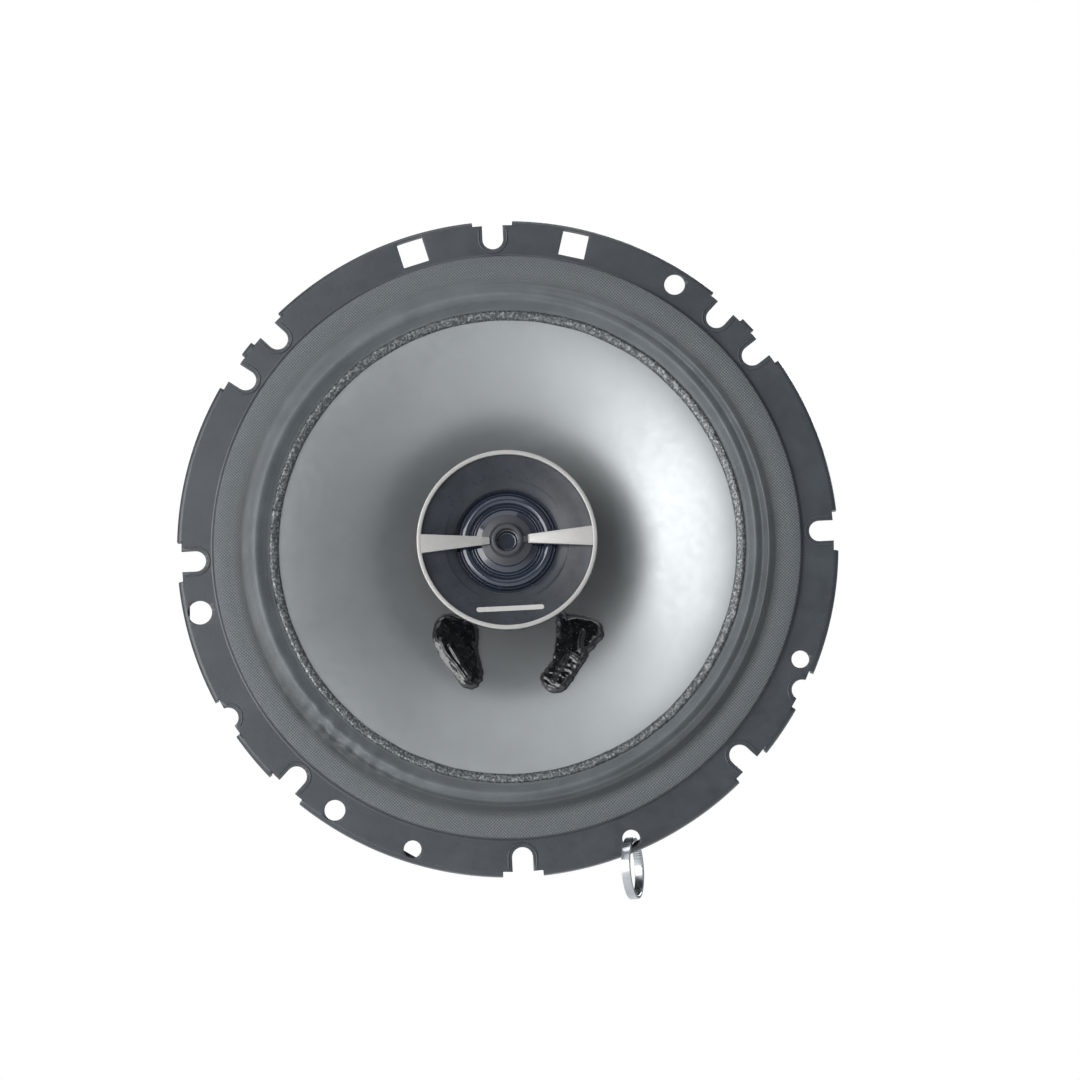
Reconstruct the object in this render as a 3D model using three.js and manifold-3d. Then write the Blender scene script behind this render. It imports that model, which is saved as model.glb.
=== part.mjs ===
// A coaxial car speaker of the 6.5 inch class: a stamped frame with a woofer motor behind it, a cone hung
// on a cloth surround and a spider, and a small tweeter that stands on a post in the middle.
// Sizes are millimetres. Every piece is built in the speaker's own frame, which has +Z along the axis
// towards the listener and Z = 0 in the plane where the frame's folded edge meets the panel.
// The last lines stand the speaker up, so that it faces -Y and +Z is up.
import * as THREE from "three";
import { mergeVertices } from "three/addons/utils/BufferGeometryUtils.js";
import Module from "manifold-3d";

// ---- Driving dimensions -------------------------------------------------------------------------------

const GLUE = 0.1; // the glue line between two flat faces
const GAP = 0.3; // between curved faces that belong together
const THROUGH = 1; // how far a cutter runs past what it cuts
const WELD = 1e-4; // vertices closer than this are one vertex

const cone = { openRadius: 57.4, paper: 0.6, depth: 15.1, rimHeight: 3.6, flare: 1.6 };
const surround = {
  lip: 2.4,
  rollWidth: 7.8,
  rollHeight: 1.9,
  fullness: 0.8, // below 1 the roll's flanks stand steeper
  dip: 0.25, // how much of the roll's height its valley takes away
  dipPlace: 0.47,
  dipWidth: 0.13,
  landing: 6.0,
  cloth: 0.55,
};
const coil = {
  bore: 12.55,
  former: 0.35,
  wire: 0.45,
  windingLength: 9,
  aboveNeck: 2,
  belowWinding: 0.5,
  air: 0.45, // on each side of the coil, to the pole and to the front plate
  bond: 0.02, // between the former and its winding
};
const spider = { reach: 27.6, seat: 5, flat: 2.5, waves: 3, waveHeight: 1.5, cloth: 0.6, belowNeck: 3.2 };
const frame = {
  sheet: 1.0, // the steel's thickness
  foldDepth: 3.5, // from the flange's front face to the edge that meets the panel
  foldRadius: 1.2,
  step: 0.8, // how far the surround's landing stands above the flange
  flatWidth: 8.1, // flat of the flange, from the landing's foot to the fold
  seatDrop: 4.4, // from the spider's shelf back to the motor's front face
  seatInset: 1.7, // from the front plate's bore out to the frame's own bore
  seatWidth: 17.5, // flat ring on the motor
  wallTopInset: 0.9, // the wall's top and its shoulder, inwards from the surround's landing
  wallTopRise: 0.4,
  shoulderInset: 5.6,
  shoulderDrop: 5.7, // from the flange's front face
};
const slots = {
  width: 5.2,
  circle: 4.2, // from the landing's foot out to the slots' round ends
  shallowCircle: 8.0,
  deepAngles: [0, 35.4, 45, 90, 135, 144.6, 180, 225, 270, 315],
  shallowAngles: [209, 331],
  foldRelief: 3.5, // degrees of fold left out on each side of a slot
};
const squareHoles = { size: 6.6, inset: 0.15, angles: [75, 105] };
const roundHoles = [
  { angle: 54.9, diameter: 5.2, circle: 4.6 },
  { angle: 189.5, diameter: 6.0, circle: 4.7 },
  { angle: 234.3, diameter: 5.2, circle: 5.0 },
  { angle: 250, diameter: 4.4, circle: 5.6 },
  { angle: 290, diameter: 4.4, circle: 5.6 },
  { angle: 335.9, diameter: 4.4, circle: 4.5 },
];
const windows = { count: 6, spoke: 14, rim: 3.0, corner: 2.5 };
const motor = {
  backPlate: 4.5,
  backRadius: 38,
  backChamfer: 0.6,
  magnet: 14,
  magnetRadius: 40,
  magnetBore: 19,
  topPlate: 4.4,
  topRadius: 37.5,
  poleHole: 2.1,
  counterbore: 4.4,
  counterboreDepth: 2.8,
};
const rivet = {
  count: 4,
  circle: 25,
  firstAngle: 45,
  shank: 1.8,
  shankDepth: 2.64, // into the front plate
  head: 3.2,
  crown: 2.24, // radius of the head's flat top
  headHeight: 0.9,
  clearance: 0.3,
};
const post = { radius: 5, foot: 9, footHeight: 2, bore: 1.6, boreDepth: 14 };
const screw = { shank: 1.3, head: 3.6, crown: 2.7, headHeight: 2.2, headSide: 1, bite: 10 };
const tweeter = {
  rise: 16, // from the panel plane to the front of the trim
  radius: 22.5,
  trimWidth: 1.3,
  trimHeight: 1.0,
  coilRadius: 8.35,
  coilWire: 0.5,
  coilAir: 0.45, // from the coil in to the disc
  potAir: 0.75, // from the coil out to the pot
  film: 0.3,
  filmDrop: 4.4, // from the front of the trim back to the film's foot
  filmClamp: 0.9, // how far the film's flat edge runs under the dish
  rollInset: 0.35, // from the coil to the roll
  rollWidth: 2.8,
  rollFoot: 0.2, // flat beside the roll
  rollOutset: 0.65, // from the roll to the dish's opening
  domeTop: 0.75, // over the film's foot
  domeTopRadius: 5.5,
  domeEdge: 0.1,
  dimple: 0.35,
  dimpleRadius: 2.4,
  lipHeight: 0.9, // the dish's opening, over the film's foot
  throatHeight: 1.8,
  throatInset: 0.4,
  shoulderWidth: 2.75, // from the opening out to the step in the dish
  shoulderDrop: 2.1, // from the front of the trim
  dishEdgeDrop: 0.2,
  rimDepth: 2.2, // of the dish's outer edge behind the trim
  skirt: 4.6, // how far the dish reaches back round the housing
  skirtWall: 2,
  housingWall: 1.95, // from the film's edge out
  housingFloor: 1.5,
  ledgeRise: 0.7, // from the disc's front to the film's ledge
  potWall: 1.8,
  potFloor: 1.6,
  magnet: 3.2,
  magnetInset: 0.6,
  disc: 1.6,
};
const bars = { rootWidth: 4.8, tipWidth: 1.9, innerRadius: 5.8, thickness: 1.1, bevel: 0.7, bevelSet: 0.2 };
const plug = { radius: 6.5, hub: 3.7, hubFoot: 4.3, hole: 2.9, disc: 0.9, discEdge: 0.54, hubHeight: 1.0 };
const capacitor = { radius: 3, length: 11 };
const board = {
  width: 33,
  height: 12,
  thickness: 1.6,
  inwards: 1.35, // from halfway between the shelf and the wall's shoulder
  leadInset: 2.4, // from the board's end to where a lead leaves it
};
const tab = { thickness: 0.8, length: 8.5, foot: 6.5, wide: 6.3, narrow: 4.8, offset: 10.5 };
const boardRivet = { shank: 1.5, head: 2.7, headHeight: 0.8, crown: 1.89 };
const tabRivet = { shank: 1.1, head: 2.0, headHeight: 0.6, crown: 1.4 };
const lead = { radius: 0.65, fine: 0.35 };
const patch = { thickness: 1.7, rimInset: 12, edgePoints: 22 };
const eyelet = { radius: 1.8, height: 0.9 };
const tagRing = { radius: 7.7, band: 0.9, width: 2.2, yaw: 14, hang: 4.5 };

// ---- Places worked out from them ----------------------------------------------------------------------

const degrees = (angle) => THREE.MathUtils.degToRad(angle);

const radii = (() => {
  const rollInner = cone.openRadius + surround.lip;
  const landingInner = rollInner + surround.rollWidth;
  const landingOuter = landingInner + surround.landing + GLUE;
  const landingFoot = landingOuter + frame.step / 2;
  const flatOuter = landingFoot + frame.flatWidth - frame.step / 2;
  const formerOuter = coil.bore + coil.former;
  const winding = formerOuter + coil.wire;
  const spiderOuter = formerOuter + GAP + spider.reach;
  return {
    rollInner,
    landingInner,
    landingOuter,
    landingFoot,
    flatOuter,
    rim: flatOuter + frame.foldRadius,
    foldInner: flatOuter + frame.foldRadius - frame.sheet,
    formerOuter,
    winding,
    gapHole: winding + coil.air,
    pole: coil.bore - coil.air,
    neck: formerOuter + GAP,
    spiderOuter,
    shelfInner: spiderOuter - spider.seat - GAP,
    shelfOuter: spiderOuter + 3 * GAP,
  };
})();

const heights = (() => {
  const neck = cone.rimHeight - cone.depth;
  const spiderFace = neck - spider.belowNeck;
  const shelf = spiderFace - spider.cloth - GLUE;
  const motorFront = shelf - frame.seatDrop;
  const topPlateBack = motorFront - motor.topPlate;
  const magnetFront = topPlateBack - GLUE;
  const magnetBack = magnetFront - motor.magnet;
  const backPlateFront = magnetBack - GLUE;
  const topPlateMiddle = motorFront - motor.topPlate / 2;
  const flangeFront = frame.foldDepth;
  return {
    flangeFront,
    landing: flangeFront + frame.step,
    motorFront,
    topPlateBack,
    magnetFront,
    magnetBack,
    backPlateFront,
    back: backPlateFront - motor.backPlate,
    neck,
    shelf,
    spiderFace,
    windingLow: topPlateMiddle - coil.windingLength / 2,
    windingHigh: topPlateMiddle + coil.windingLength / 2,
  };
})();

// ---- Solids -------------------------------------------------------------------------------------------

const wasm = await Module();
wasm.setup();

function solidOf(geometry) {
  const bare = geometry.index ? geometry.toNonIndexed() : geometry.clone();
  bare.deleteAttribute("normal");
  bare.deleteAttribute("uv");
  const merged = mergeVertices(bare, WELD);
  const vertProperties = merged.attributes.position.array;
  const triVerts = new Uint32Array(merged.index.array);
  return new wasm.Manifold(new wasm.Mesh({ numProp: 3, vertProperties, triVerts }));
}

function geometryOf(solid) {
  const mesh = solid.getMesh();
  const corners = new Float32Array(mesh.numVert * 3);
  for (let i = 0; i < mesh.numVert; i++) {
    corners.set(mesh.vertProperties.subarray(i * mesh.numProp, i * mesh.numProp + 3), i * 3);
  }
  return new THREE.BufferGeometry()
    .setAttribute("position", new THREE.BufferAttribute(corners, 3))
    .setIndex(new THREE.BufferAttribute(mesh.triVerts, 1));
}

const cut = (body, ...cutters) =>
  geometryOf(cutters.reduce((left, cutter) => left.subtract(solidOf(cutter)), solidOf(body)));
const join = (first, ...others) =>
  geometryOf(others.reduce((whole, other) => whole.add(solidOf(other)), solidOf(first)));
const overlapOf = (a, b) => geometryOf(solidOf(a).intersect(solidOf(b)));

// A solid of revolution about Z. The profile is [radius, height] points; it starts and ends on the axis,
// or else it is closed here.
function turned(profile, segments) {
  const points = profile.map(([radius, height]) => new THREE.Vector2(radius, height));
  if (THREE.ShapeUtils.area(points) < 0) points.reverse();
  if (points[0].x > 0) points.push(points[0].clone());
  return new THREE.LatheGeometry(points, segments).rotateX(Math.PI / 2);
}

// Points of an arc of a profile, its angles in degrees.
function arcPoints([x, y], radius, from, to, steps) {
  return Array.from({ length: steps + 1 }, (_, i) => {
    const angle = degrees(from + ((to - from) * i) / steps);
    return [x + radius * Math.cos(angle), y + radius * Math.sin(angle)];
  });
}

// The closed profile of a sheet that has this front line and this thickness, with mitred corners.
function sheetProfile(front, thickness) {
  const line = front.map(([x, y]) => new THREE.Vector2(x, y));
  const back = line.map((point, i) => {
    const into = i > 0 ? point.clone().sub(line[i - 1]).normalize() : null;
    const out = i < line.length - 1 ? line[i + 1].clone().sub(point).normalize() : null;
    const along = into && out ? into.clone().add(out).normalize() : (into ?? out).clone();
    const below = new THREE.Vector2(along.y, -along.x);
    const stretch = into && out ? Math.sqrt((1 + into.dot(out)) / 2) : 1;
    return point.clone().addScaledVector(below, thickness / stretch).toArray();
  });
  return [...front, ...back.reverse()];
}

const steps = (count, of) => Array.from({ length: count + 1 }, (_, i) => of(i / count));

function drum(radius, low, high, segments, bore = 0) {
  if (bore > 0) return turned([[bore, low], [radius, low], [radius, high], [bore, high]], segments);
  return turned([[0, low], [radius, low], [radius, high], [0, high]], segments);
}

function plate(shape, low, high, curveSegments = 6) {
  const options = { depth: high - low, bevelEnabled: false, curveSegments };
  return new THREE.ExtrudeGeometry(shape, options).translate(0, 0, low);
}

function ringSector(inner, outer, middle, half, low, high, curveSegments) {
  const from = degrees(middle - half);
  const to = degrees(middle + half);
  const shape = new THREE.Shape();
  shape.absarc(0, 0, outer, from, to, false);
  shape.absarc(0, 0, inner, to, from, true);
  return plate(shape, low, high, curveSegments);
}

// A round-sided tube along a smooth curve through the given points.
function wire(points, radius, sides, pieces) {
  const section = new THREE.Shape(
    Array.from({ length: sides }, (_, i) => {
      const angle = (2 * Math.PI * i) / sides;
      return new THREE.Vector2(radius * Math.cos(angle), radius * Math.sin(angle));
    }),
  );
  const extrudePath = new THREE.CatmullRomCurve3(points.map((point) => new THREE.Vector3(...point)));
  return new THREE.ExtrudeGeometry(section, { steps: pieces, bevelEnabled: false, extrudePath });
}

// ---- Materials ----------------------------------------------------------------------------------------

const material = (color, roughness, metalness) =>
  new THREE.MeshStandardMaterial({ color, roughness, metalness });
const finishes = {
  blackPaint: material(0x363b41, 0.45, 0.2),
  zinc: material(0xa9abab, 0.35, 0.9),
  ferrite: material(0x2b2b2d, 0.6, 0.1),
  silverCone: material(0x9ea3a3, 0.42, 0.45),
  cloth: material(0x5d6268, 0.85, 0),
  spiderCloth: material(0xb88a4a, 0.9, 0),
  copper: material(0xa7603a, 0.35, 0.9),
  formerFilm: material(0x6a4a2c, 0.5, 0),
  blackPlastic: material(0x2e3238, 0.4, 0),
  silverPaint: material(0xc4c2be, 0.38, 0.5),
  filmBlue: material(0x1c2432, 0.15, 0),
  glue: material(0x141517, 0.25, 0),
  fibre: material(0x4a3426, 0.7, 0),
  brass: material(0xb59a58, 0.35, 0.9),
  braid: material(0xb08060, 0.5, 0.7),
  sleeve: material(0x2a2220, 0.5, 0),
  bright: material(0xc8ccd0, 0.15, 1),
};

const speaker = new THREE.Group();

function add(name, geometry, finish, parent = speaker) {
  const mesh = new THREE.Mesh(geometry, finish);
  mesh.name = name;
  parent.add(mesh);
  return mesh;
}

// ---- Stamped frame ------------------------------------------------------------------------------------
// One steel pressing: the flat ring on the motor, the spider's shelf, the spoked wall, the landing for the
// surround, and the flange whose edge is folded back except at the screw slots.

const FRAME_SIDES = 54;
const wall = {
  topRadius: radii.landingInner - frame.wallTopInset,
  top: heights.flangeFront - frame.sheet + frame.wallTopRise,
  shoulderRadius: radii.landingInner - frame.shoulderInset,
  shoulder: heights.flangeFront - frame.shoulderDrop,
};
const frameBore = radii.gapHole + frame.seatInset;

const frameFront = [
  [frameBore, heights.motorFront + frame.sheet],
  [frameBore + frame.seatWidth, heights.motorFront + frame.sheet],
  [radii.shelfInner, heights.shelf],
  [radii.shelfOuter, heights.shelf],
  [wall.shoulderRadius, wall.shoulder],
  [wall.topRadius, wall.top],
  [radii.landingInner, heights.landing],
  [radii.landingOuter, heights.landing],
  [radii.landingFoot, heights.flangeFront],
  ...arcPoints([radii.flatOuter, heights.flangeFront - frame.foldRadius], frame.foldRadius, 90, 0, 2),
  [radii.rim, 0],
];

const wallSlope = Math.atan2(wall.shoulder - heights.shelf, wall.shoulderRadius - radii.shelfOuter);

function slotCutter(angle, circle) {
  const half = slots.width / 2;
  const beyond = radii.rim + THROUGH;
  const shape = new THREE.Shape();
  shape.moveTo(beyond, -half);
  shape.lineTo(circle, -half);
  shape.absarc(circle, 0, half, -Math.PI / 2, Math.PI / 2, true);
  shape.lineTo(beyond, half);
  return plate(shape, -THROUGH, heights.landing, 6).rotateZ(degrees(angle));
}

function foldReliefs() {
  const angles = [...slots.deepAngles, ...slots.shallowAngles].sort((a, b) => a - b);
  const merged = [];
  for (const angle of angles) {
    const last = merged.at(-1);
    const joins = last && angle - slots.foldRelief <= last.to + slots.foldRelief;
    if (joins) last.to = angle + slots.foldRelief;
    else merged.push({ from: angle - slots.foldRelief, to: angle + slots.foldRelief });
  }
  return merged.map(({ from, to }) =>
    ringSector(
      radii.flatOuter,
      radii.rim + THROUGH,
      (from + to) / 2,
      (to - from) / 2,
      -THROUGH,
      heights.flangeFront + THROUGH,
      3,
    ),
  );
}

function windowCutter(index) {
  const inner = radii.shelfOuter + windows.rim;
  const outer = wall.shoulderRadius - windows.rim / 2;
  const share = (radius) => Math.PI / windows.count - Math.asin(windows.spoke / 2 / radius);
  const { corner } = windows;
  const shape = new THREE.Shape();
  const polar = (radius, angle) => [radius * Math.cos(angle), radius * Math.sin(angle)];
  const from = share(outer);
  const to = share(inner);
  shape.moveTo(...polar(outer, -from + corner / outer));
  shape.absarc(0, 0, outer, -from + corner / outer, from - corner / outer, false);
  shape.quadraticCurveTo(...polar(outer, from), ...polar(outer - corner, share(outer - corner)));
  shape.lineTo(...polar(inner + corner, share(inner + corner)));
  shape.quadraticCurveTo(...polar(inner, to), ...polar(inner, to - corner / inner));
  shape.absarc(0, 0, inner, to - corner / inner, -to + corner / inner, true);
  shape.quadraticCurveTo(...polar(inner, -to), ...polar(inner + corner, -share(inner + corner)));
  shape.lineTo(...polar(outer - corner, -share(outer - corner)));
  shape.quadraticCurveTo(...polar(outer, -from), ...polar(outer, -from + corner / outer));
  const low = heights.shelf + frame.sheet;
  const high = wall.shoulder;
  return plate(shape, low - 2 * frame.sheet, high, 4).rotateZ((2 * Math.PI * index) / windows.count);
}

// The terminal board hangs on the back of the bottom spoke. Its own frame has Z along the wall's back
// normal, X across the spoke, and its origin on the wall's back face.
const boardFrame = (() => {
  const middle = (radii.shelfOuter + wall.shoulderRadius) / 2 - board.inwards;
  const front = heights.shelf + Math.tan(wallSlope) * (middle - radii.shelfOuter);
  const back = new THREE.Vector3(0, -Math.sin(wallSlope), -Math.cos(wallSlope));
  const origin = new THREE.Vector3(0, -middle, front).addScaledVector(back, frame.sheet);
  const across = new THREE.Vector3(1, 0, 0);
  const along = new THREE.Vector3().crossVectors(back, across);
  return new THREE.Matrix4().makeBasis(across, along, back).setPosition(origin);
})();

const slotCircle = radii.landingFoot + slots.circle;
const shallowCircle = radii.landingFoot + slots.shallowCircle;

function squareCutter(angle) {
  const outer = radii.flatOuter + squareHoles.inset;
  const centre = outer - squareHoles.size / 2;
  return new THREE.BoxGeometry(squareHoles.size, squareHoles.size, 2 * frame.sheet)
    .translate(centre, 0, heights.flangeFront - frame.sheet / 2)
    .rotateZ(degrees(angle));
}

function roundCutter({ angle, diameter, circle }) {
  return drum(diameter / 2, heights.flangeFront - 2 * frame.sheet, heights.landing, 14)
    .translate(radii.landingFoot + circle, 0, 0)
    .rotateZ(degrees(angle));
}

const rivetAngles = Array.from({ length: rivet.count }, (_, i) => rivet.firstAngle + (360 * i) / rivet.count);
const atRivet = (geometry, angle) => geometry.translate(rivet.circle, 0, 0).rotateZ(degrees(angle));
const rivetHole = (low, high, angle) => atRivet(drum(rivet.shank + rivet.clearance, low, high, 12), angle);

add(
  "basket",
  cut(
    turned(sheetProfile(frameFront, frame.sheet), FRAME_SIDES),
    ...foldReliefs(),
    ...slots.deepAngles.map((angle) => slotCutter(angle, slotCircle)),
    ...slots.shallowAngles.map((angle) => slotCutter(angle, shallowCircle)),
    ...squareHoles.angles.map(squareCutter),
    ...roundHoles.map(roundCutter),
    ...Array.from({ length: windows.count }, (_, i) => windowCutter(i)),
    ...rivetAngles.map((angle) =>
      rivetHole(heights.motorFront - THROUGH, heights.motorFront + frame.sheet + THROUGH, angle),
    ),
    drum(boardRivet.shank + GAP, -3 * frame.sheet, frame.sheet, 12).applyMatrix4(boardFrame),
  ),
  finishes.blackPaint,
);

// ---- Woofer motor -------------------------------------------------------------------------------------

const MOTOR_SIDES = 32;

add(
  "pole_yoke",
  turned(
    [
      [motor.poleHole, heights.motorFront],
      [radii.pole, heights.motorFront],
      [radii.pole, heights.backPlateFront],
      [motor.backRadius, heights.backPlateFront],
      [motor.backRadius, heights.back + motor.backChamfer],
      [motor.backRadius - motor.backChamfer, heights.back],
      [motor.counterbore, heights.back],
      [motor.counterbore, heights.back + motor.counterboreDepth],
      [motor.poleHole, heights.back + motor.counterboreDepth],
    ],
    MOTOR_SIDES,
  ),
  finishes.zinc,
);

add(
  "magnet_ring",
  turned(
    [
      [motor.magnetBore, heights.magnetBack],
      [motor.magnetRadius - 1, heights.magnetBack],
      [motor.magnetRadius, heights.magnetBack + 1],
      [motor.magnetRadius, heights.magnetFront - 1],
      [motor.magnetRadius - 1, heights.magnetFront],
      [motor.magnetBore, heights.magnetFront],
    ],
    MOTOR_SIDES,
  ),
  finishes.ferrite,
);

const plateFront = heights.motorFront - GLUE;
add(
  "top_plate",
  cut(
    drum(motor.topRadius, heights.topPlateBack, plateFront, MOTOR_SIDES, radii.gapHole),
    ...rivetAngles.map((angle) => rivetHole(plateFront - rivet.shankDepth, plateFront + THROUGH, angle)),
  ),
  finishes.zinc,
);

rivetAngles.forEach((angle, i) => {
  const seat = heights.motorFront + frame.sheet + GLUE;
  const rivetFoot = plateFront - rivet.shankDepth + GLUE;
  const profile = [
    [0, rivetFoot],
    [rivet.shank, rivetFoot],
    [rivet.shank, seat],
    [rivet.head, seat],
    [rivet.crown, seat + rivet.headHeight],
    [0, seat + rivet.headHeight],
  ];
  add(`basket_rivet_${i + 1}`, atRivet(turned(profile, 12), angle), finishes.zinc);
});

// ---- Moving assembly: cone, coil, surround and spider -------------------------------------------------

const coneRim = cone.openRadius + surround.lip - GAP;

// The height of the cone's front face: steep at the neck, flatter towards the rim.
function coneHeight(radius) {
  const share = (radius - radii.neck) / (coneRim - radii.neck);
  return heights.neck + cone.depth * (1 - (1 - share) ** cone.flare);
}

function coneLine(from, to, count, lift = 0) {
  return steps(count, (t) => {
    const radius = from + (to - from) * t;
    return [radius, coneHeight(radius) + lift];
  });
}

const CONE_SIDES = 32;
add(
  "cone",
  turned(sheetProfile(coneLine(radii.neck, coneRim, 6), cone.paper), CONE_SIDES),
  finishes.silverCone,
);

const SURROUND_SIDES = 42;
// Height of the surround's cloth over its own foot, across the roll from 0 to 1: two ridges, one valley.
function rollHeight(t) {
  const swell = Math.sin(Math.PI * t) ** surround.fullness;
  const valley = Math.exp(-(((t - surround.dipPlace) / surround.dipWidth) ** 2));
  return surround.rollHeight * swell * (1 - surround.dip * valley);
}

const lipFoot = coneHeight(coneRim) + GLUE + surround.cloth;
const landingFace = heights.landing + GLUE + surround.cloth;
const surroundFront = [
  [cone.openRadius, lipFoot],
  ...steps(6, (t) => [
    radii.rollInner + surround.rollWidth * t,
    lipFoot + (landingFace - lipFoot) * t + rollHeight(t),
  ]),
  [radii.landingOuter - GLUE, landingFace],
];
add("surround", turned(sheetProfile(surroundFront, surround.cloth), SURROUND_SIDES), finishes.cloth);

const formerTop = heights.neck + coil.aboveNeck;
const formerLow = heights.windingLow - coil.belowWinding;
const COIL_SIDES = 28;
add("coil_former", drum(radii.formerOuter, formerLow, formerTop, COIL_SIDES, coil.bore), finishes.formerFilm);
const windingBore = radii.formerOuter + coil.bond;
add(
  "coil_winding",
  drum(radii.winding, heights.windingLow, heights.windingHigh, COIL_SIDES, windingBore),
  finishes.copper,
);

const spiderFront = [
  [radii.neck, heights.spiderFace],
  ...steps(spider.waves * 3, (t) => {
    const from = radii.neck + spider.flat;
    const to = radii.spiderOuter - spider.seat;
    const wave = -Math.sin(2 * Math.PI * spider.waves * t) * (spider.waveHeight / 2);
    return [from + (to - from) * t, heights.spiderFace + wave];
  }),
  [radii.spiderOuter, heights.spiderFace],
];
add("spider", turned(sheetProfile(spiderFront, spider.cloth), CONE_SIDES), finishes.spiderCloth);

// ---- Glue patches, eyelets and leads ------------------------------------------------------------------
// Black glue covers the lead-out wires on the cone's front, one patch on each side of the bottom. Under the
// outer end of each patch an eyelet takes the braided lead that comes from the terminal board.

const patches = {
  left: {
    outline: [
      [-17, -15],
      [-20, -20],
      [-19, -25.5],
      [-15.6, -30.8],
      [-12.8, -34.9],
      [-9.2, -34.7],
      [-7.5, -31],
      [-8.6, -25.5],
      [-9, -18],
    ],
    eyelet: [-10.8, -31.4],
    tweeterEnd: [-11.5, -17.5],
    housingEnd: [-6.5, -8.5],
  },
  right: {
    outline: [
      [12, -16.5],
      [11, -23],
      [9.6, -28.6],
      [6.3, -33],
      [8.4, -37],
      [12.6, -36.8],
      [16, -32.4],
      [19.6, -27.2],
      [23.2, -22.6],
      [21, -18.4],
    ],
    eyelet: [10.8, -33.4],
    tweeterEnd: [14, -18.5],
    housingEnd: [6.5, -8.5],
  },
};
const patchLimits = [radii.neck + GAP, cone.openRadius - patch.rimInset, 8];
const patchShell = turned(
  [...coneLine(...patchLimits, GAP), ...coneLine(...patchLimits, GAP + patch.thickness).reverse()],
  CONE_SIDES,
);

const boardSurface = (x, y, z) => new THREE.Vector3(x, y, z).applyMatrix4(boardFrame).toArray();
const radiusOf = ([x, y]) => Math.hypot(x, y);

// The tweeter's stack, from its film down to the back of its housing.
const housing = (() => {
  const filmFoot = tweeter.rise - tweeter.filmDrop;
  const ledge = filmFoot - tweeter.film - GLUE;
  const discFront = ledge - tweeter.ledgeRise;
  const discBack = discFront - tweeter.disc;
  const magnetFront = discBack - GLUE;
  const magnetBack = magnetFront - tweeter.magnet;
  const potBack = magnetBack - GLUE - tweeter.potFloor;
  const floor = potBack - GLUE;
  const back = floor - tweeter.housingFloor;
  return { filmFoot, ledge, discFront, discBack, magnetFront, magnetBack, potBack, floor, back };
})();
const housingBack = housing.back;

for (const [side, { outline, eyelet: place, tweeterEnd, housingEnd }] of Object.entries(patches)) {
  const sign = side === "left" ? -1 : 1;
  const spline = new THREE.CatmullRomCurve3(outline.map(([x, y]) => new THREE.Vector3(x, y, 0)), true);
  const edge = spline.getPoints(22).slice(0, -1).map(({ x, y }) => new THREE.Vector2(x, y));
  const column = plate(new THREE.Shape(edge), heights.neck, heights.landing + 4);
  add(`glue_patch_${side}`, overlapOf(column, patchShell), finishes.glue);

  const under = coneHeight(radiusOf(place)) - 2 * cone.paper - 2 * GAP;
  add(
    `cone_eyelet_${side}`,
    drum(eyelet.radius, under - eyelet.height, under, 12).translate(...place, 0),
    finishes.brass,
  );

  const leadEnd = under - eyelet.height - GAP - lead.radius;
  const start = boardSurface(sign * (board.width / 2 - board.leadInset), 0, -lead.radius);
  add(
    `tinsel_lead_${side}`,
    wire(
      [
        start,
        [start[0] * 1.02, start[1] + 4, start[2] + 1.2],
        [start[0], start[1] + 9, (start[2] + leadEnd) / 2 - 1],
        [place[0] + sign * 1.2, place[1] - 4.5, leadEnd - 1.4],
        [place[0], place[1], leadEnd],
      ],
      lead.radius,
      8,
      12,
    ),
    finishes.braid,
  );

  const patchTop = coneHeight(radiusOf(tweeterEnd)) + patch.thickness + 2 * GAP + lead.fine;
  add(
    `tweeter_lead_${side}`,
    wire(
      [
        [...housingEnd, housingBack - GAP],
        [housingEnd[0] * 1.15, housingEnd[1] - 2.2, housingBack - 2.2],
        [tweeterEnd[0] * 0.88, tweeterEnd[1] + 3.6, (housingBack + patchTop) / 2],
        [...tweeterEnd, patchTop],
      ],
      lead.fine,
      8,
      9,
    ),
    finishes.sleeve,
  );
}

// ---- Tweeter post and screw ---------------------------------------------------------------------------

const postBase = heights.motorFront + GLUE;
const postTop = housingBack - GLUE;
const POST_SIDES = 24;
add(
  "tweeter_post",
  turned(
    [
      [post.bore + GAP, postBase],
      [post.foot, postBase],
      [post.foot, postBase + post.footHeight],
      [post.radius, postBase + post.footHeight + (post.foot - post.radius)],
      [post.radius, postTop],
      [0, postTop],
      [0, postBase + post.boreDepth],
      [post.bore + GAP, postBase + post.boreDepth],
    ],
    POST_SIDES,
  ),
  finishes.blackPlastic,
);

const headSeat = heights.back + motor.counterboreDepth - GLUE;
add(
  "post_screw",
  turned(
    [
      [0, headSeat - screw.headHeight],
      [screw.crown, headSeat - screw.headHeight],
      [screw.head, headSeat - screw.headSide],
      [screw.head, headSeat],
      [screw.shank, headSeat],
      [screw.shank, postBase + screw.bite],
      [0, postBase + screw.bite],
    ],
    POST_SIDES,
  ),
  finishes.zinc,
);

// ---- Tweeter ------------------------------------------------------------------------------------------
// A plastic cup holds a steel pot with the small magnet. The film diaphragm rests on the cup's ledge and the
// dish clamps it. The trim's two bars cross the dish and carry the phase plug over the film.

const TWEETER_SIDES = 24;
const tweeterRadii = (() => {
  const coilOuter = tweeter.coilRadius + tweeter.coilWire;
  const rollFrom = coilOuter + tweeter.rollInset;
  const rollTo = rollFrom + tweeter.rollWidth;
  const opening = rollTo + tweeter.rollOutset;
  const filmOuter = opening + tweeter.filmClamp;
  return {
    coilOuter,
    rollFrom,
    rollTo,
    opening,
    filmOuter,
    disc: tweeter.coilRadius - tweeter.coilAir,
    potBore: coilOuter + tweeter.potAir,
    pot: coilOuter + tweeter.potAir + tweeter.potWall,
    housing: filmOuter + tweeter.housingWall,
    shoulder: opening + tweeter.shoulderWidth,
    trimBore: tweeter.radius - tweeter.trimWidth,
  };
})();

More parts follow.
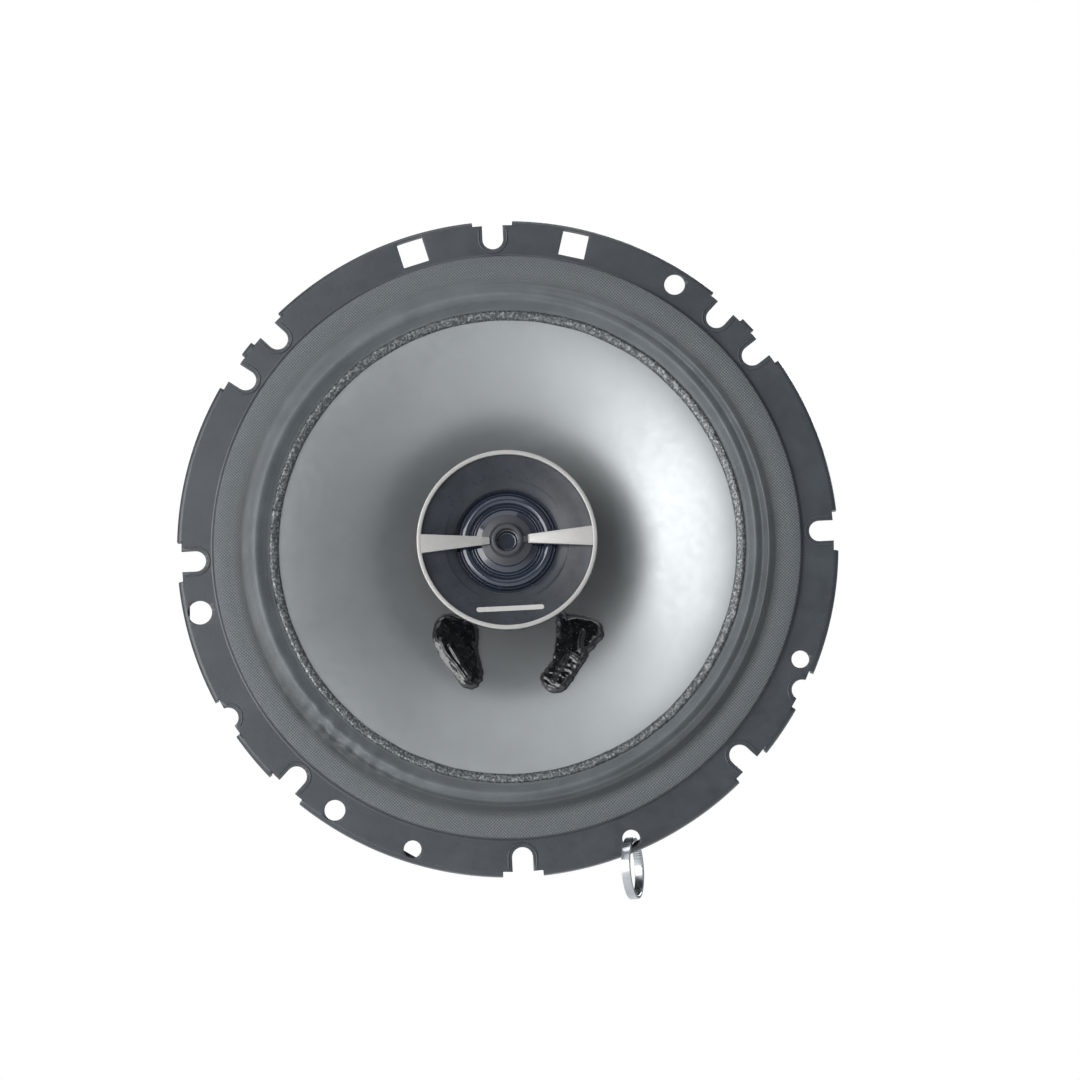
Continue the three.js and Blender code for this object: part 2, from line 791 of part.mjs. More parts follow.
add(
  "tweeter_housing",
  turned(
    [
      [0, housingBack],
      [tweeterRadii.housing, housingBack],
      [tweeterRadii.housing, housing.ledge],
      [tweeterRadii.pot + GAP, housing.ledge],
      [tweeterRadii.pot + GAP, housing.floor],
      [0, housing.floor],
    ],
    TWEETER_SIDES,
  ),
  finishes.blackPlastic,
);

add(
  "tweeter_pot",
  turned(
    [
      [0, housing.potBack],
      [tweeterRadii.pot, housing.potBack],
      [tweeterRadii.pot, housing.discFront],
      [tweeterRadii.potBore, housing.discFront],
      [tweeterRadii.potBore, housing.potBack + tweeter.potFloor],
      [0, housing.potBack + tweeter.potFloor],
    ],
    TWEETER_SIDES,
  ),
  finishes.zinc,
);
add(
  "tweeter_magnet",
  drum(tweeterRadii.disc - tweeter.magnetInset, housing.magnetBack, housing.magnetFront, TWEETER_SIDES),
  finishes.bright,
);
add(
  "tweeter_disc",
  drum(tweeterRadii.disc, housing.discBack, housing.discFront, TWEETER_SIDES),
  finishes.zinc,
);

// The film: a shallow dome with a dimple, which moves with the coil, and the half roll round it, whose flat
// edge is clamped between the ledge and the dish.
const { filmFoot } = housing;
const domeFront = [
  [0, filmFoot + tweeter.dimple],
  [tweeter.dimpleRadius, filmFoot + tweeter.domeTop],
  [tweeter.domeTopRadius, filmFoot + tweeter.domeTop],
  [tweeterRadii.coilOuter, filmFoot + tweeter.domeEdge],
];
const rollMiddle = (tweeterRadii.rollFrom + tweeterRadii.rollTo) / 2;
const rollFront = [
  [tweeterRadii.coilOuter + GAP, filmFoot],
  [tweeterRadii.rollFrom + GAP, filmFoot],
  ...arcPoints([rollMiddle, filmFoot], tweeter.rollWidth / 2, 150, 30, 4),
  [tweeterRadii.rollTo + tweeter.rollFoot, filmFoot],
  [tweeterRadii.filmOuter, filmFoot],
];
add("tweeter_dome", turned(sheetProfile(domeFront, tweeter.film), TWEETER_SIDES), finishes.filmBlue);
add("tweeter_roll", turned(sheetProfile(rollFront, tweeter.film), TWEETER_SIDES), finishes.filmBlue);
const tweeterCoilFront = filmFoot - tweeter.film - GAP;
add(
  "tweeter_coil",
  drum(tweeterRadii.coilOuter, housing.discBack, tweeterCoilFront, TWEETER_SIDES, tweeter.coilRadius),
  finishes.copper,
);

const trimBack = tweeter.rise - tweeter.trimHeight;
const dishLow = filmFoot + GLUE;
const throatRadius = (tweeterRadii.opening + tweeterRadii.shoulder) / 2 - tweeter.throatInset;
add(
  "tweeter_bezel",
  turned(
    [
      [tweeterRadii.opening, dishLow],
      [tweeterRadii.opening, filmFoot + tweeter.lipHeight],
      [throatRadius, filmFoot + tweeter.throatHeight],
      [tweeterRadii.shoulder, tweeter.rise - tweeter.shoulderDrop],
      [tweeterRadii.trimBore, trimBack - tweeter.dishEdgeDrop],
      [tweeterRadii.trimBore, trimBack - GLUE],
      [tweeter.radius, trimBack - GLUE],
      [tweeter.radius, trimBack - tweeter.rimDepth],
      [tweeterRadii.housing + tweeter.skirtWall, dishLow - tweeter.skirt],
      [tweeterRadii.housing + GAP, dishLow - tweeter.skirt],
      [tweeterRadii.housing + GAP, dishLow],
    ],
    TWEETER_SIDES + 12,
  ),
  finishes.blackPlastic,
);

function barGeometry(side) {
  const root = tweeter.radius - tweeter.trimWidth / 2;
  const section = new THREE.Shape();
  section.moveTo(bars.innerRadius, -bars.tipWidth / 2);
  section.lineTo(root, -bars.rootWidth / 2);
  section.lineTo(root, bars.rootWidth / 2);
  section.lineTo(bars.innerRadius, bars.tipWidth / 2);
  const bar = plate(section, tweeter.rise - bars.thickness, tweeter.rise);
  const slope = new THREE.BoxGeometry(2 * bars.bevel, bars.rootWidth, 2 * bars.bevel)
    .rotateY(Math.PI / 4)
    .translate(bars.innerRadius - bars.bevelSet, 0, tweeter.rise + bars.bevelSet);
  return cut(bar, slope).rotateZ(side === "left" ? Math.PI : 0);
}

add(
  "tweeter_trim",
  join(
    drum(tweeter.radius, trimBack, tweeter.rise, TWEETER_SIDES + 12, tweeterRadii.trimBore),
    barGeometry("left"),
    barGeometry("right"),
  ),
  finishes.silverPaint,
);

const plugFace = tweeter.rise - bars.thickness - GAP;
add(
  "phase_plug",
  turned(
    [
      [plug.hole, plugFace - plug.disc],
      [plug.radius, plugFace - plug.disc],
      [plug.radius, plugFace - plug.disc + plug.discEdge],
      [plug.hubFoot, plugFace],
      [plug.hub, plugFace + plug.hubHeight],
      [plug.hole, plugFace + plug.hubHeight],
    ],
    24,
  ),
  finishes.blackPlastic,
);

add(
  "tweeter_capacitor",
  drum(capacitor.radius, -capacitor.length / 2, capacitor.length / 2, 16)
    .rotateY(Math.PI / 2)
    .translate(0, post.radius + capacitor.radius + GAP, housingBack - capacitor.radius - GAP),
  finishes.sleeve,
);

// ---- Terminal board -----------------------------------------------------------------------------------

const boardGroup = new THREE.Group();
boardGroup.applyMatrix4(boardFrame);
speaker.add(boardGroup);

const tabs = [
  { name: "wide", width: tab.wide, x: -tab.offset },
  { name: "narrow", width: tab.narrow, x: tab.offset },
];
const boardBack = GAP + board.thickness;
const footLift = GLUE;
const holeFor = (pin, x) => drum(pin.shank + GAP, -THROUGH, boardBack + 3, 12).translate(x, 0, 0);

const boardBlank = new THREE.BoxGeometry(board.width, board.height, board.thickness);
add(
  "terminal_board",
  cut(
    boardBlank.translate(0, 0, boardBack - board.thickness / 2),
    holeFor(boardRivet, 0),
    ...tabs.map(({ x }) => holeFor(tabRivet, x)),
  ),
  finishes.fibre,
  boardGroup,
);

function pinProfile(pin, low, high) {
  return [
    [0, low - pin.headHeight],
    [pin.crown, low - pin.headHeight],
    [pin.head, low],
    [pin.shank, low],
    [pin.shank, high],
    [pin.head, high],
    [pin.crown, high + pin.headHeight],
    [0, high + pin.headHeight],
  ];
}

add(
  "board_rivet",
  turned(pinProfile(boardRivet, -frame.sheet - GAP, boardBack + GLUE), 12),
  finishes.brass,
  boardGroup,
);

for (const { name, width, x } of tabs) {
  const low = boardBack + footLift;
  const foot = new THREE.BoxGeometry(width, tab.foot, tab.thickness).translate(x, 0, low + tab.thickness / 2);
  const blade = new THREE.BoxGeometry(width, tab.thickness, tab.length).translate(
    x,
    tab.foot / 2 - tab.thickness / 2,
    low + tab.length / 2,
  );
  add(`terminal_tab_${name}`, cut(join(foot, blade), holeFor(tabRivet, x)), finishes.brass, boardGroup);
  const pin = turned(pinProfile(tabRivet, GAP - GLUE, low + tab.thickness + GLUE), 12).translate(x, 0, 0);
  add(`tab_rivet_${name}`, pin, finishes.brass, boardGroup);
}

// ---- Tag ring -----------------------------------------------------------------------------------------
// A thin steel band threaded through the round hole to the right of the bottom slot. It hangs on the strip
// of flange between that hole and the folded edge, turned a little about the vertical.

const ringHole = roundHoles.find(({ angle }) => angle === 290);
const strip = (() => {
  const holeRadius = radii.landingFoot + ringHole.circle;
  const middle = (holeRadius + ringHole.diameter / 2 + radii.rim) / 2;
  const below = holeRadius * Math.cos(degrees(ringHole.angle));
  const sheetMiddle = heights.flangeFront - frame.sheet / 2;
  return new THREE.Vector3(below, -Math.sqrt(middle ** 2 - below ** 2), sheetMiddle);
})();
const ringCentre = strip.clone().add(new THREE.Vector3(0, -tagRing.hang, 0));
add(
  "tag_ring",
  drum(tagRing.radius, -tagRing.width / 2, tagRing.width / 2, 32, tagRing.radius - tagRing.band)
    .rotateY(Math.PI / 2)
    .rotateY(degrees(-tagRing.yaw))
    .translate(...ringCentre.toArray()),
  finishes.bright,
);

// ---- Stand the speaker up: its axis along -Y, its top slot upwards ------------------------------------

speaker.rotation.x = Math.PI / 2;
const part = new THREE.Group();
part.add(speaker);

export default part;
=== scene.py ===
# A coaxial car speaker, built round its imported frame: the folded steel frame first, then the motor behind
# it, the moving cone with its cloth, the leads and terminals, the tweeter on its post, and the hanging ring.
# The speaker's own sizes are in millimetres, as (x, y, height), with height growing towards the listener.
import math

import bmesh
import bpy
import numpy as np
from mathutils import Matrix, Vector, noise
from mathutils.geometry import delaunay_2d_cdt


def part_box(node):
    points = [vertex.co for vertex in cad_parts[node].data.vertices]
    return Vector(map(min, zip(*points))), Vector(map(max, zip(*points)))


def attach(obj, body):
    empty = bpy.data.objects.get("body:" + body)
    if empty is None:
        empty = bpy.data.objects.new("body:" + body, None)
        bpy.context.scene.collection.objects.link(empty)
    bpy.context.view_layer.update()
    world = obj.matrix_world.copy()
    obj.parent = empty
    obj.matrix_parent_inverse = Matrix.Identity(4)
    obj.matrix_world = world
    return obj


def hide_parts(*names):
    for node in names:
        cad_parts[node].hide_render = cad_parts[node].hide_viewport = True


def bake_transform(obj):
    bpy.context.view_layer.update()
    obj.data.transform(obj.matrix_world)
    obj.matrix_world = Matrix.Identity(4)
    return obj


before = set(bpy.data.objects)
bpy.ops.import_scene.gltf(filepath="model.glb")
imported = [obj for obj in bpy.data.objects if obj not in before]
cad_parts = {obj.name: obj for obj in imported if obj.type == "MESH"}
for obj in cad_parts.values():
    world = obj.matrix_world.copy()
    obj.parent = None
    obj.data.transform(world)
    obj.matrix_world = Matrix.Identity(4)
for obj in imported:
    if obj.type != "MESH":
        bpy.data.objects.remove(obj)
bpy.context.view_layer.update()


# ---- Camera -------------------------------------------------------------------------------------------
# A long lens looks at the speaker's face from slightly below its axis. The speaker hangs a little turned
# and a little left of the middle of the picture.

view_width = 0.2708
distance = 1.45
below_axis = math.radians(7.7)
lean = math.radians(2.8)
aim = Vector((0.0082, -0.0035, 0.0011))

camera_data = bpy.data.cameras.new("camera")
camera = bpy.data.objects.new("camera", camera_data)
bpy.context.scene.collection.objects.link(camera)
bpy.context.scene.camera = camera
camera_data.lens = camera_data.sensor_width * distance / view_width
camera_data.clip_end = 20
towards_camera = Vector((0, -math.cos(below_axis), -math.sin(below_axis)))
camera_turn = (-towards_camera).to_track_quat("-Z", "Y").to_matrix().to_4x4()
roll = Matrix.Rotation(-lean, 4, "Z")
upright = Matrix.Translation(aim + towards_camera * distance) @ camera_turn @ roll
camera.matrix_world = upright


# ---- Stamped frame ------------------------------------------------------------------------------------
# One pressing of 1 mm steel, painted blue-black: seat on the motor, spider's shelf, spokes, the landing
# for the surround, and the flange. Its edge is folded back, except where the slots would be cut into it.


class Wire:
    """One output of a node. A sum, product or comparison of Wires adds the Math node that it needs."""

    def __init__(self, graph, node, socket):
        self.graph = graph
        self.node = node
        self.socket = socket

    def output(self, name):
        return Wire(self.graph, self.node, self.node.outputs[name])

    def maths(self, operation, *others):
        values = dict(enumerate((self, *others)))
        return self.graph.add("ShaderNodeMath", {"operation": operation}, values)

    def __add__(self, other):
        return self.maths("ADD", other)

    def __sub__(self, other):
        return self.maths("SUBTRACT", other)

    def __rsub__(self, other):
        return (self * -1) + other

    def __mul__(self, other):
        return self.maths("MULTIPLY", other)

    def __lt__(self, other):
        return self.maths("LESS_THAN", other)

    __radd__ = __add__
    __rmul__ = __mul__


class Graph:
    """A node tree being built."""

    def __init__(self, tree):
        self.tree = tree

    def add(self, kind, settings=None, values=None, output=0):
        """Adds a node: its settings first, then its sockets' values or links. Gives one output as a Wire."""
        node = self.tree.nodes.new(kind)
        for name, value in (settings or {}).items():
            setattr(node, name, value)
        for name, value in (values or {}).items():
            self.join(node.inputs[name], value)
        return Wire(self, node, node.outputs[output] if node.outputs else None)

    def join(self, socket, value):
        if isinstance(value, Wire):
            self.tree.links.new(value.socket, socket)
        else:
            socket.default_value = value


class Finish(Graph):
    """A material: one Principled surface whose colour, roughness and bump come from its nodes."""

    def __init__(self, name, slot, roughness=0.5, metallic=0.0, **constants):
        self.material = bpy.data.materials.new(name)
        self.material.use_nodes = True
        super().__init__(self.material.node_tree)
        self.slot = slot
        self.surface = self.tree.nodes["Principled BSDF"]
        self.surface.inputs["Roughness"].default_value = roughness
        self.surface.inputs["Metallic"].default_value = metallic
        for socket, value in constants.items():
            self.surface.inputs[socket.replace("_", " ")].default_value = value
        self.place = self.add("ShaderNodeTexCoord", output="Object")
        parts = self.add("ShaderNodeSeparateXYZ", None, {0: self.place})
        self.across, self.deep, self.up = (parts.output(letter) for letter in "XYZ")

    def cloud(self, per_mm, detail=3.0, roughness=0.55, stretch=None):
        """Soft noise with about this many patches in a millimetre."""
        where = self.place
        if stretch:
            where = self.add("ShaderNodeVectorMath", {"operation": "MULTIPLY"}, {0: where, 1: stretch})
        return self.add(
            "ShaderNodeTexNoise",
            None,
            {"Vector": where, "Scale": per_mm * 1000, "Detail": detail, "Roughness": roughness},
        )

    def specks(self, per_mm, size):
        """1 in small scattered dots, 0 between them."""
        cell = self.add("ShaderNodeTexVoronoi", None, {"Vector": self.place, "Scale": per_mm * 1000})
        return cell < size

    def spread(self, value, low, high, out_low=0.0, out_high=1.0):
        """value, stretched so that low and high become the two outer numbers, and held between them."""
        return self.add("ShaderNodeMapRange", None, {0: value, 1: low, 2: high, 3: out_low, 4: out_high})

    def mix(self, share, first, second):
        """A colour between two colours."""
        colours = {0: share, 6: self.colour(first), 7: self.colour(second)}
        return self.add("ShaderNodeMix", {"data_type": "RGBA"}, colours, output=2)

    @staticmethod
    def colour(value):
        return value if isinstance(value, Wire) else (*value, 1)

    def feed(self, socket, value):
        self.join(self.surface.inputs[socket], self.colour(value) if isinstance(value, tuple) else value)

    def colour_by(self, share, first, second):
        """Base colour between two colours."""
        self.feed("Base Color", self.mix(share, first, second))

    def roughen(self, clouds, low, high):
        """Roughness from low to high over the usual range of a cloud."""
        self.feed("Roughness", self.spread(clouds, 0.3, 0.7, low, high))

    def raise_by(self, height, millimetres):
        """Bumps the surface by this height, from 0 to 1, times this many millimetres."""
        bump = {"Height": height, "Distance": millimetres / 1000, "Strength": 1.0}
        self.feed("Normal", self.add("ShaderNodeBump", None, bump))


paint = Finish("blue_black_paint", "black_paint", roughness=0.36, Coat_Weight=0.25, Coat_Roughness=0.2)
dust = paint.spread(paint.cloud(0.08, 4), 0.35, 0.75)
peel = paint.cloud(1.1, 2)
paint.colour_by(dust, (0.030, 0.036, 0.043), (0.043, 0.051, 0.060))
paint.roughen(paint.cloud(0.3, 4), 0.30, 0.46)
paint.raise_by(peel, 0.02)


def in_frame(points):
    """The speaker's (x, y, height) in millimetres as the frame's metres."""
    x, y, height = np.asarray(points, float).T
    return np.column_stack((x, -height, y)) / 1000


def piece(name, points, faces, finish, sharp=38, tidy=True):
    """A mesh object from points in the speaker's millimetres."""
    mesh = bpy.data.meshes.new(name)
    mesh.from_pydata(in_frame(points).tolist(), [], [tuple(int(i) for i in face) for face in faces])
    if tidy:
        work = bmesh.new()
        work.from_mesh(mesh)
        bmesh.ops.remove_doubles(work, verts=work.verts, dist=1e-6)
        bmesh.ops.recalc_face_normals(work, faces=work.faces)
        work.to_mesh(mesh)
        work.free()
    return dress(bpy.data.objects.new(name, mesh), finish, sharp)


def dress(thing, finish, sharp=38):
    """Links an object, smooths it and gives it its finish."""
    if thing.name not in bpy.context.scene.collection.objects:
        bpy.context.scene.collection.objects.link(thing)
    mesh = thing.data
    mesh.shade_smooth()
    mesh.set_sharp_from_angle(angle=math.radians(sharp))
    mesh.materials.clear()
    mesh.materials.append(finish.material)
    return thing


def settle(thing, finish, sharp=38):
    """Turns an object with modifiers into a plain mesh at the origin."""
    bpy.context.view_layer.update()
    depsgraph = bpy.context.evaluated_depsgraph_get()
    mesh = bpy.data.meshes.new_from_object(thing.evaluated_get(depsgraph), depsgraph=depsgraph)
    mesh.transform(thing.matrix_world)
    old = thing.name
    bpy.data.objects.remove(thing)
    mesh.name = old
    return dress(bpy.data.objects.new(old, mesh), finish, sharp)


def eased(profile, radius, steps=3, closed=True):
    """The profile with its corners rounded, as far as its short edges allow."""
    points = [Vector(point) for point in profile]
    count = len(points)
    result = []
    for i, corner in enumerate(points):
        on_axis = corner.x < 1e-6
        at_end = not closed and i in (0, count - 1)
        before, after = points[i - 1] - corner, points[(i + 1) % count] - corner
        if on_axis or at_end or math.pi - before.angle(after) < math.radians(12):
            result.append(corner)
            continue
        trim = min(radius, 0.45 * before.length, 0.45 * after.length)
        start, end = corner + before.normalized() * trim, corner + after.normalized() * trim
        for k in range(steps + 1):
            t = k / steps
            result.append(start * (1 - t) ** 2 + corner * 2 * t * (1 - t) + end * t * t)
    return [tuple(point) for point in result]


sheet = 1.0
flange_height = 3.5
landing_height = flange_height + 0.8
flat_end = 81.8
fold_bend = 1.2
seat_height = -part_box("top_plate")[0][1] * 1000 + sheet + 0.1
shelf_height = -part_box("spider")[1][1] * 1000 + 0.55
frame_line = [
    (15.5, seat_height),
    (33.0, seat_height),
    (35.5, shelf_height),
    (41.7, shelf_height),
    (62.0, -2.2),
    (66.7, 2.9),
    (67.6, landing_height),
    (73.7, landing_height),
    (74.1, flange_height),
    (flat_end, flange_height),
]
deep_slots = [0, 35.4, 45, 90, 135, 144.6, 180, 225, 270, 315]
shallow_slots = [209, 331]
slot_half = 2.6
round_holes = [
    (54.9, 78.7, 2.6),
    (189.5, 78.8, 3.0),
    (234.3, 79.1, 2.6),
    (250, 79.7, 2.2),
    (290, 79.7, 2.2),
    (335.9, 78.6, 2.2),
]
window_count, spoke, window_from, window_to = 6, 14, 44.7, 60.5
deep_centre, shallow_centre = 78.3, 82.1
square_from, square_to, square_half = 75.35, 81.95, 3.3
square_angles = (75, 105)
fold_relief = 3.5
outside = 95


def circle(radius, count, centre=(0, 0)):
    """A closed loop of points round a centre."""
    angles = np.arange(count) * 2 * math.pi / count
    return [(centre[0] + radius * math.cos(a), centre[1] + radius * math.sin(a)) for a in angles]


def spun(points, angle):
    """The points turned about the axis by an angle in degrees."""
    c, s = math.cos(math.radians(angle)), math.sin(math.radians(angle))
    return [(x * c - y * s, x * s + y * c) for x, y in points]


def slot_outline(angle, depth):
    """A slot with a round end at this depth, open outwards."""
    bend = [
        (depth + slot_half * math.cos(a), slot_half * math.sin(a))
        for a in np.linspace(1.5 * math.pi, 0.5 * math.pi, 17)
    ]
    return spun([(outside, -slot_half), *bend, (outside, slot_half)], angle)


def relief_outline(angle):
    """The stretch of folded edge that a slot leaves out."""
    half = math.radians(fold_relief)
    inner = [(flat_end * math.cos(a), flat_end * math.sin(a)) for a in np.linspace(-half, half, 8)]
    outer = [(outside * math.cos(a), outside * math.sin(a)) for a in np.linspace(half, -half, 8)]
    return spun([*inner, *outer], angle)


def window_outline(index):
    """One window between two spokes, with its corners softened."""
    def share(radius):
        return math.pi / window_count - math.asin(spoke / 2 / radius)

    corners = []
    for radius, sign in ((window_from, -1), (window_to, -1), (window_to, 1), (window_from, 1)):
        corners.append((radius, sign * share(radius)))
    outline = []
    for (r1, a1), (r2, a2) in zip(corners, corners[1:] + corners[:1]):
        for t in np.linspace(0, 1, 24, endpoint=False):
            radius, angle = r1 + (r2 - r1) * t, a1 + (a2 - a1) * t
            outline.append((radius * math.cos(angle), radius * math.sin(angle)))
    soft = np.array(outline)
    for _ in range(14):
        soft = (np.roll(soft, 1, 0) + soft * 2 + np.roll(soft, -1, 0)) / 4
    return spun([tuple(p) for p in soft], 360 / window_count * index)


def inside(points, outline):
    """Which points lie inside a closed outline."""
    x, y = points[:, 0], points[:, 1]
    hit = np.zeros(len(points), bool)
    for (x1, y1), (x2, y2) in zip(outline, outline[1:] + outline[:1]):
        if y1 == y2:
            continue
        crosses = (y1 > y) != (y2 > y)
        hit ^= crosses & (x < (x2 - x1) * (y - y1) / (y2 - y1) + x1)
    return hit


bend_length = fold_bend * math.pi / 2
fold_end = flat_end + bend_length + flange_height - fold_bend
line = eased(frame_line, 1.1, 4, closed=False)
rings = [radius for radius, _ in line]
rings += [flat_end + bend_length * k / 5 for k in range(1, 6)] + [fold_end]
cutters = [slot_outline(angle, deep_centre) for angle in deep_slots]
cutters += [slot_outline(angle, shallow_centre) for angle in shallow_slots]
cutters += [relief_outline(angle) for angle in deep_slots + shallow_slots]
cutters += [window_outline(k) for k in range(window_count)]
for angle, radius, hole in round_holes:
    cutters.append(spun(circle(hole, 32, (radius, 0)), angle))
for angle in square_angles:
    sides = ((square_from, -square_half), (square_to, -square_half), (square_to, square_half))
    cutters.append(spun([*sides, (square_from, square_half)], angle))

flat, edges = [], []
for outline in [circle(radius, 300) for radius in rings] + cutters:
    first = len(flat)
    flat += outline
    edges += [(first + k, first + (k + 1) % len(outline)) for k in range(len(outline))]
flat, _, triangles, _, _, _ = delaunay_2d_cdt([Vector(p) for p in flat], edges, [], 0, 1e-4)
flat = np.array(flat)
triangles = np.array(triangles)
middles = flat[triangles].mean(axis=1)
from_axis = np.hypot(*middles.T)
kept = (from_axis > rings[0] * 0.9999) & (from_axis < fold_end)
for outline in cutters:
    kept &= ~inside(middles, outline)
triangles = triangles[kept]

radius = np.hypot(*flat.T)
turn = np.arctan2(flat[:, 1], flat[:, 0])
past = np.clip(radius - flat_end, 0, None)
bend = np.clip(past / fold_bend, 0, math.pi / 2)
formed = np.where(past > 0, flat_end + fold_bend * np.sin(bend), radius)
height = np.interp(radius, *np.array(line).T) - fold_bend * (1 - np.cos(bend))
height -= np.clip(past - bend_length, 0, None)
points = np.column_stack((formed * np.cos(turn), formed * np.sin(turn), height))

basket = piece("frame_pressing", points, triangles, paint, tidy=False)
work = bmesh.new()
work.from_mesh(basket.data)
loose = [v for v in work.verts if not v.link_faces]
bmesh.ops.delete(work, geom=loose, context="VERTS")
bmesh.ops.dissolve_degenerate(work, edges=work.edges, dist=1e-6)
bmesh.ops.recalc_face_normals(work, faces=work.faces)
facing = sum(face.normal.y * face.calc_area() for face in work.faces)
if facing > 0:
    bmesh.ops.reverse_faces(work, faces=work.faces)
work.to_mesh(basket.data)
work.free()
thicken = basket.modifiers.new("steel", "SOLIDIFY")
thicken.thickness = sheet / 1000
thicken.offset = -1
thicken.use_even_offset = True
ease = basket.modifiers.new("deburred_edges", "BEVEL")
ease.width = 0.00014
ease.segments = 2
ease.limit_method = "ANGLE"
ease.angle_limit = math.radians(62)
ease.use_clamp_overlap = False
even = basket.modifiers.new("even_shading", "WEIGHTED_NORMAL")
even.weight = 100
even.keep_sharp = True
basket = settle(basket, paint)
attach(basket, "chassis")
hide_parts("basket")


# ---- Motor --------------------------------------------------------------------------------------------
# Behind the frame sits a ferrite ring between two zinc-plated steel plates. The back plate is forged in one
# piece with the pole, whose hole takes the tweeter's screw; glue and the clamp of the rivets hold the stack.


def radius_of(finish):
    """Distance from the speaker's axis, in metres, as a Wire."""
    return (finish.across * finish.across + finish.up * finish.up).maths("SQRT")


zinc = Finish("zinc_plate", "zinc", roughness=0.34, metallic=0.92)
bloom = zinc.spread(zinc.cloud(0.12, 5), 0.38, 0.68)
zinc.colour_by(bloom, (0.50, 0.51, 0.51), (0.34, 0.36, 0.37))
rings_cut = (radius_of(zinc) * 9000).maths("SINE") * 0.5 + 0.5
zinc.roughen(zinc.cloud(0.6, 4), 0.26, 0.46)
zinc.raise_by(rings_cut * 0.3 + zinc.cloud(2.5, 2) * 0.7, 0.012)

ferrite = Finish("ground_ferrite", "ferrite", roughness=0.62)
grit = ferrite.cloud(3.0, 4)
chips = ferrite.specks(0.6, 0.12)
ferrite.colour_by(ferrite.spread(grit, 0.3, 0.7), (0.022, 0.022, 0.024), (0.045, 0.044, 0.046))
ferrite.feed("Roughness", ferrite.spread(ferrite.cloud(0.5, 3), 0.3, 0.7, 0.5, 0.72) - chips * 0.12)
ferrite.raise_by(grit, 0.06)


def heights_of(node):
    """The lowest and highest (height towards the listener) of a CAD node, in millimetres."""
    low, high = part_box(node)
    return -high[1] * 1000, -low[1] * 1000


def widest(node):
    """Half of a CAD node's width, in millimetres."""
    low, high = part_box(node)
    return (high[0] - low[0]) * 500


def turned(name, profile, finish, turns=192, sharp=38, warp=None):
    """A solid of revolution from a closed (radius, height) profile, or one that ends on the axis twice."""
    points, rings = [], []
    for radius, height in profile:
        if radius < 1e-6:
            rings.append([len(points)] * turns)
            points.append((0, 0, height))
            continue
        rings.append(list(range(len(points), len(points) + turns)))
        for k in range(turns):
            angle = 2 * math.pi * k / turns
            points.append((radius * math.cos(angle), radius * math.sin(angle), height))
    wraps = profile[0][0] > 1e-6
    faces = []
    for one, two in zip(rings, rings[1:] + rings[:1] if wraps else rings[1:]):
        for k in range(turns):
            corners = (one[k], one[(k + 1) % turns], two[(k + 1) % turns], two[k])
            corners = tuple(dict.fromkeys(corners))
            if len(corners) > 2:
                faces.append(corners)
    points = np.array(points)
    if warp is not None:
        points = warp(points)
    return piece(name, points, faces, finish, sharp)


plate_low, plate_high = heights_of("top_plate")
plate_radius, gap_radius = widest("top_plate"), 13.9
top_profile = [
    (gap_radius, plate_low),
    (plate_radius, plate_low),
    (plate_radius, plate_high),
    (gap_radius, plate_high),
]
top_plate = turned("front_plate", eased(top_profile, 0.5), zinc, 160)
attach(top_plate, "chassis")
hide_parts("top_plate")

ferrite_low, ferrite_high = heights_of("magnet_ring")
ferrite_radius, ferrite_bore, chamfer = widest("magnet_ring"), 19, 1
ferrite_profile = [
    (ferrite_bore, ferrite_low),
    (ferrite_radius - chamfer, ferrite_low),
    (ferrite_radius, ferrite_low + chamfer),
    (ferrite_radius, ferrite_high - chamfer),
    (ferrite_radius - chamfer, ferrite_high),
    (ferrite_bore, ferrite_high),
]
magnet = turned("ferrite_ring", eased(ferrite_profile, 0.35), ferrite, 200)
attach(magnet, "chassis")
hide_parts("magnet_ring")

yoke_low, yoke_high = heights_of("pole_yoke")
yoke_radius, pole_radius, pole_bore, counterbore = widest("pole_yoke"), 12.1, 2.1, 4.4
back_plate, screw_seat, groove, groove_depth = 4.5, 2.8, 26.5, 0.35
yoke_profile = [
    (pole_bore, yoke_high),
    (pole_radius, yoke_high),
    (pole_radius, yoke_low + back_plate),
    (yoke_radius, yoke_low + back_plate),
    (yoke_radius, yoke_low + chamfer),
    (yoke_radius - chamfer, yoke_low),
    (groove + 0.9, yoke_low),
    (groove + 0.4, yoke_low + groove_depth),
    (groove - 0.4, yoke_low + groove_depth),
    (groove - 0.9, yoke_low),
    (counterbore + 1, yoke_low),
    (counterbore, yoke_low + 0.8),
    (counterbore, yoke_low + screw_seat),
    (pole_bore, yoke_low + screw_seat),
]
yoke = turned("pole_and_back_plate", eased(yoke_profile, 0.4), zinc, 200)
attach(yoke, "chassis")
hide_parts("pole_yoke")


# ---- Rivets of the frame and top plate ----------------------------------------------------------------
# Four steel rivets join the pressing to the top plate. One rivet is turned and then copied round the
# circle that the plate is drilled on.


def geometry_tree(name, inputs):
    """A geometry tree with named number inputs; gives the graph, its inputs and its output socket."""
    tree = bpy.data.node_groups.new(name, "GeometryNodeTree")
    tree.interface.new_socket("Geometry", in_out="OUTPUT", socket_type="NodeSocketGeometry")
    for label, (kind, value) in inputs.items():
        socket = tree.interface.new_socket(label, in_out="INPUT", socket_type=kind)
        if value is not None:
            socket.default_value = value
    graph = Graph(tree)
    start = tree.nodes.new("NodeGroupInput")
    end = tree.nodes.new("NodeGroupOutput")
    return graph, {label: Wire(graph, start, start.outputs[label]) for label in inputs}, end.inputs[0]


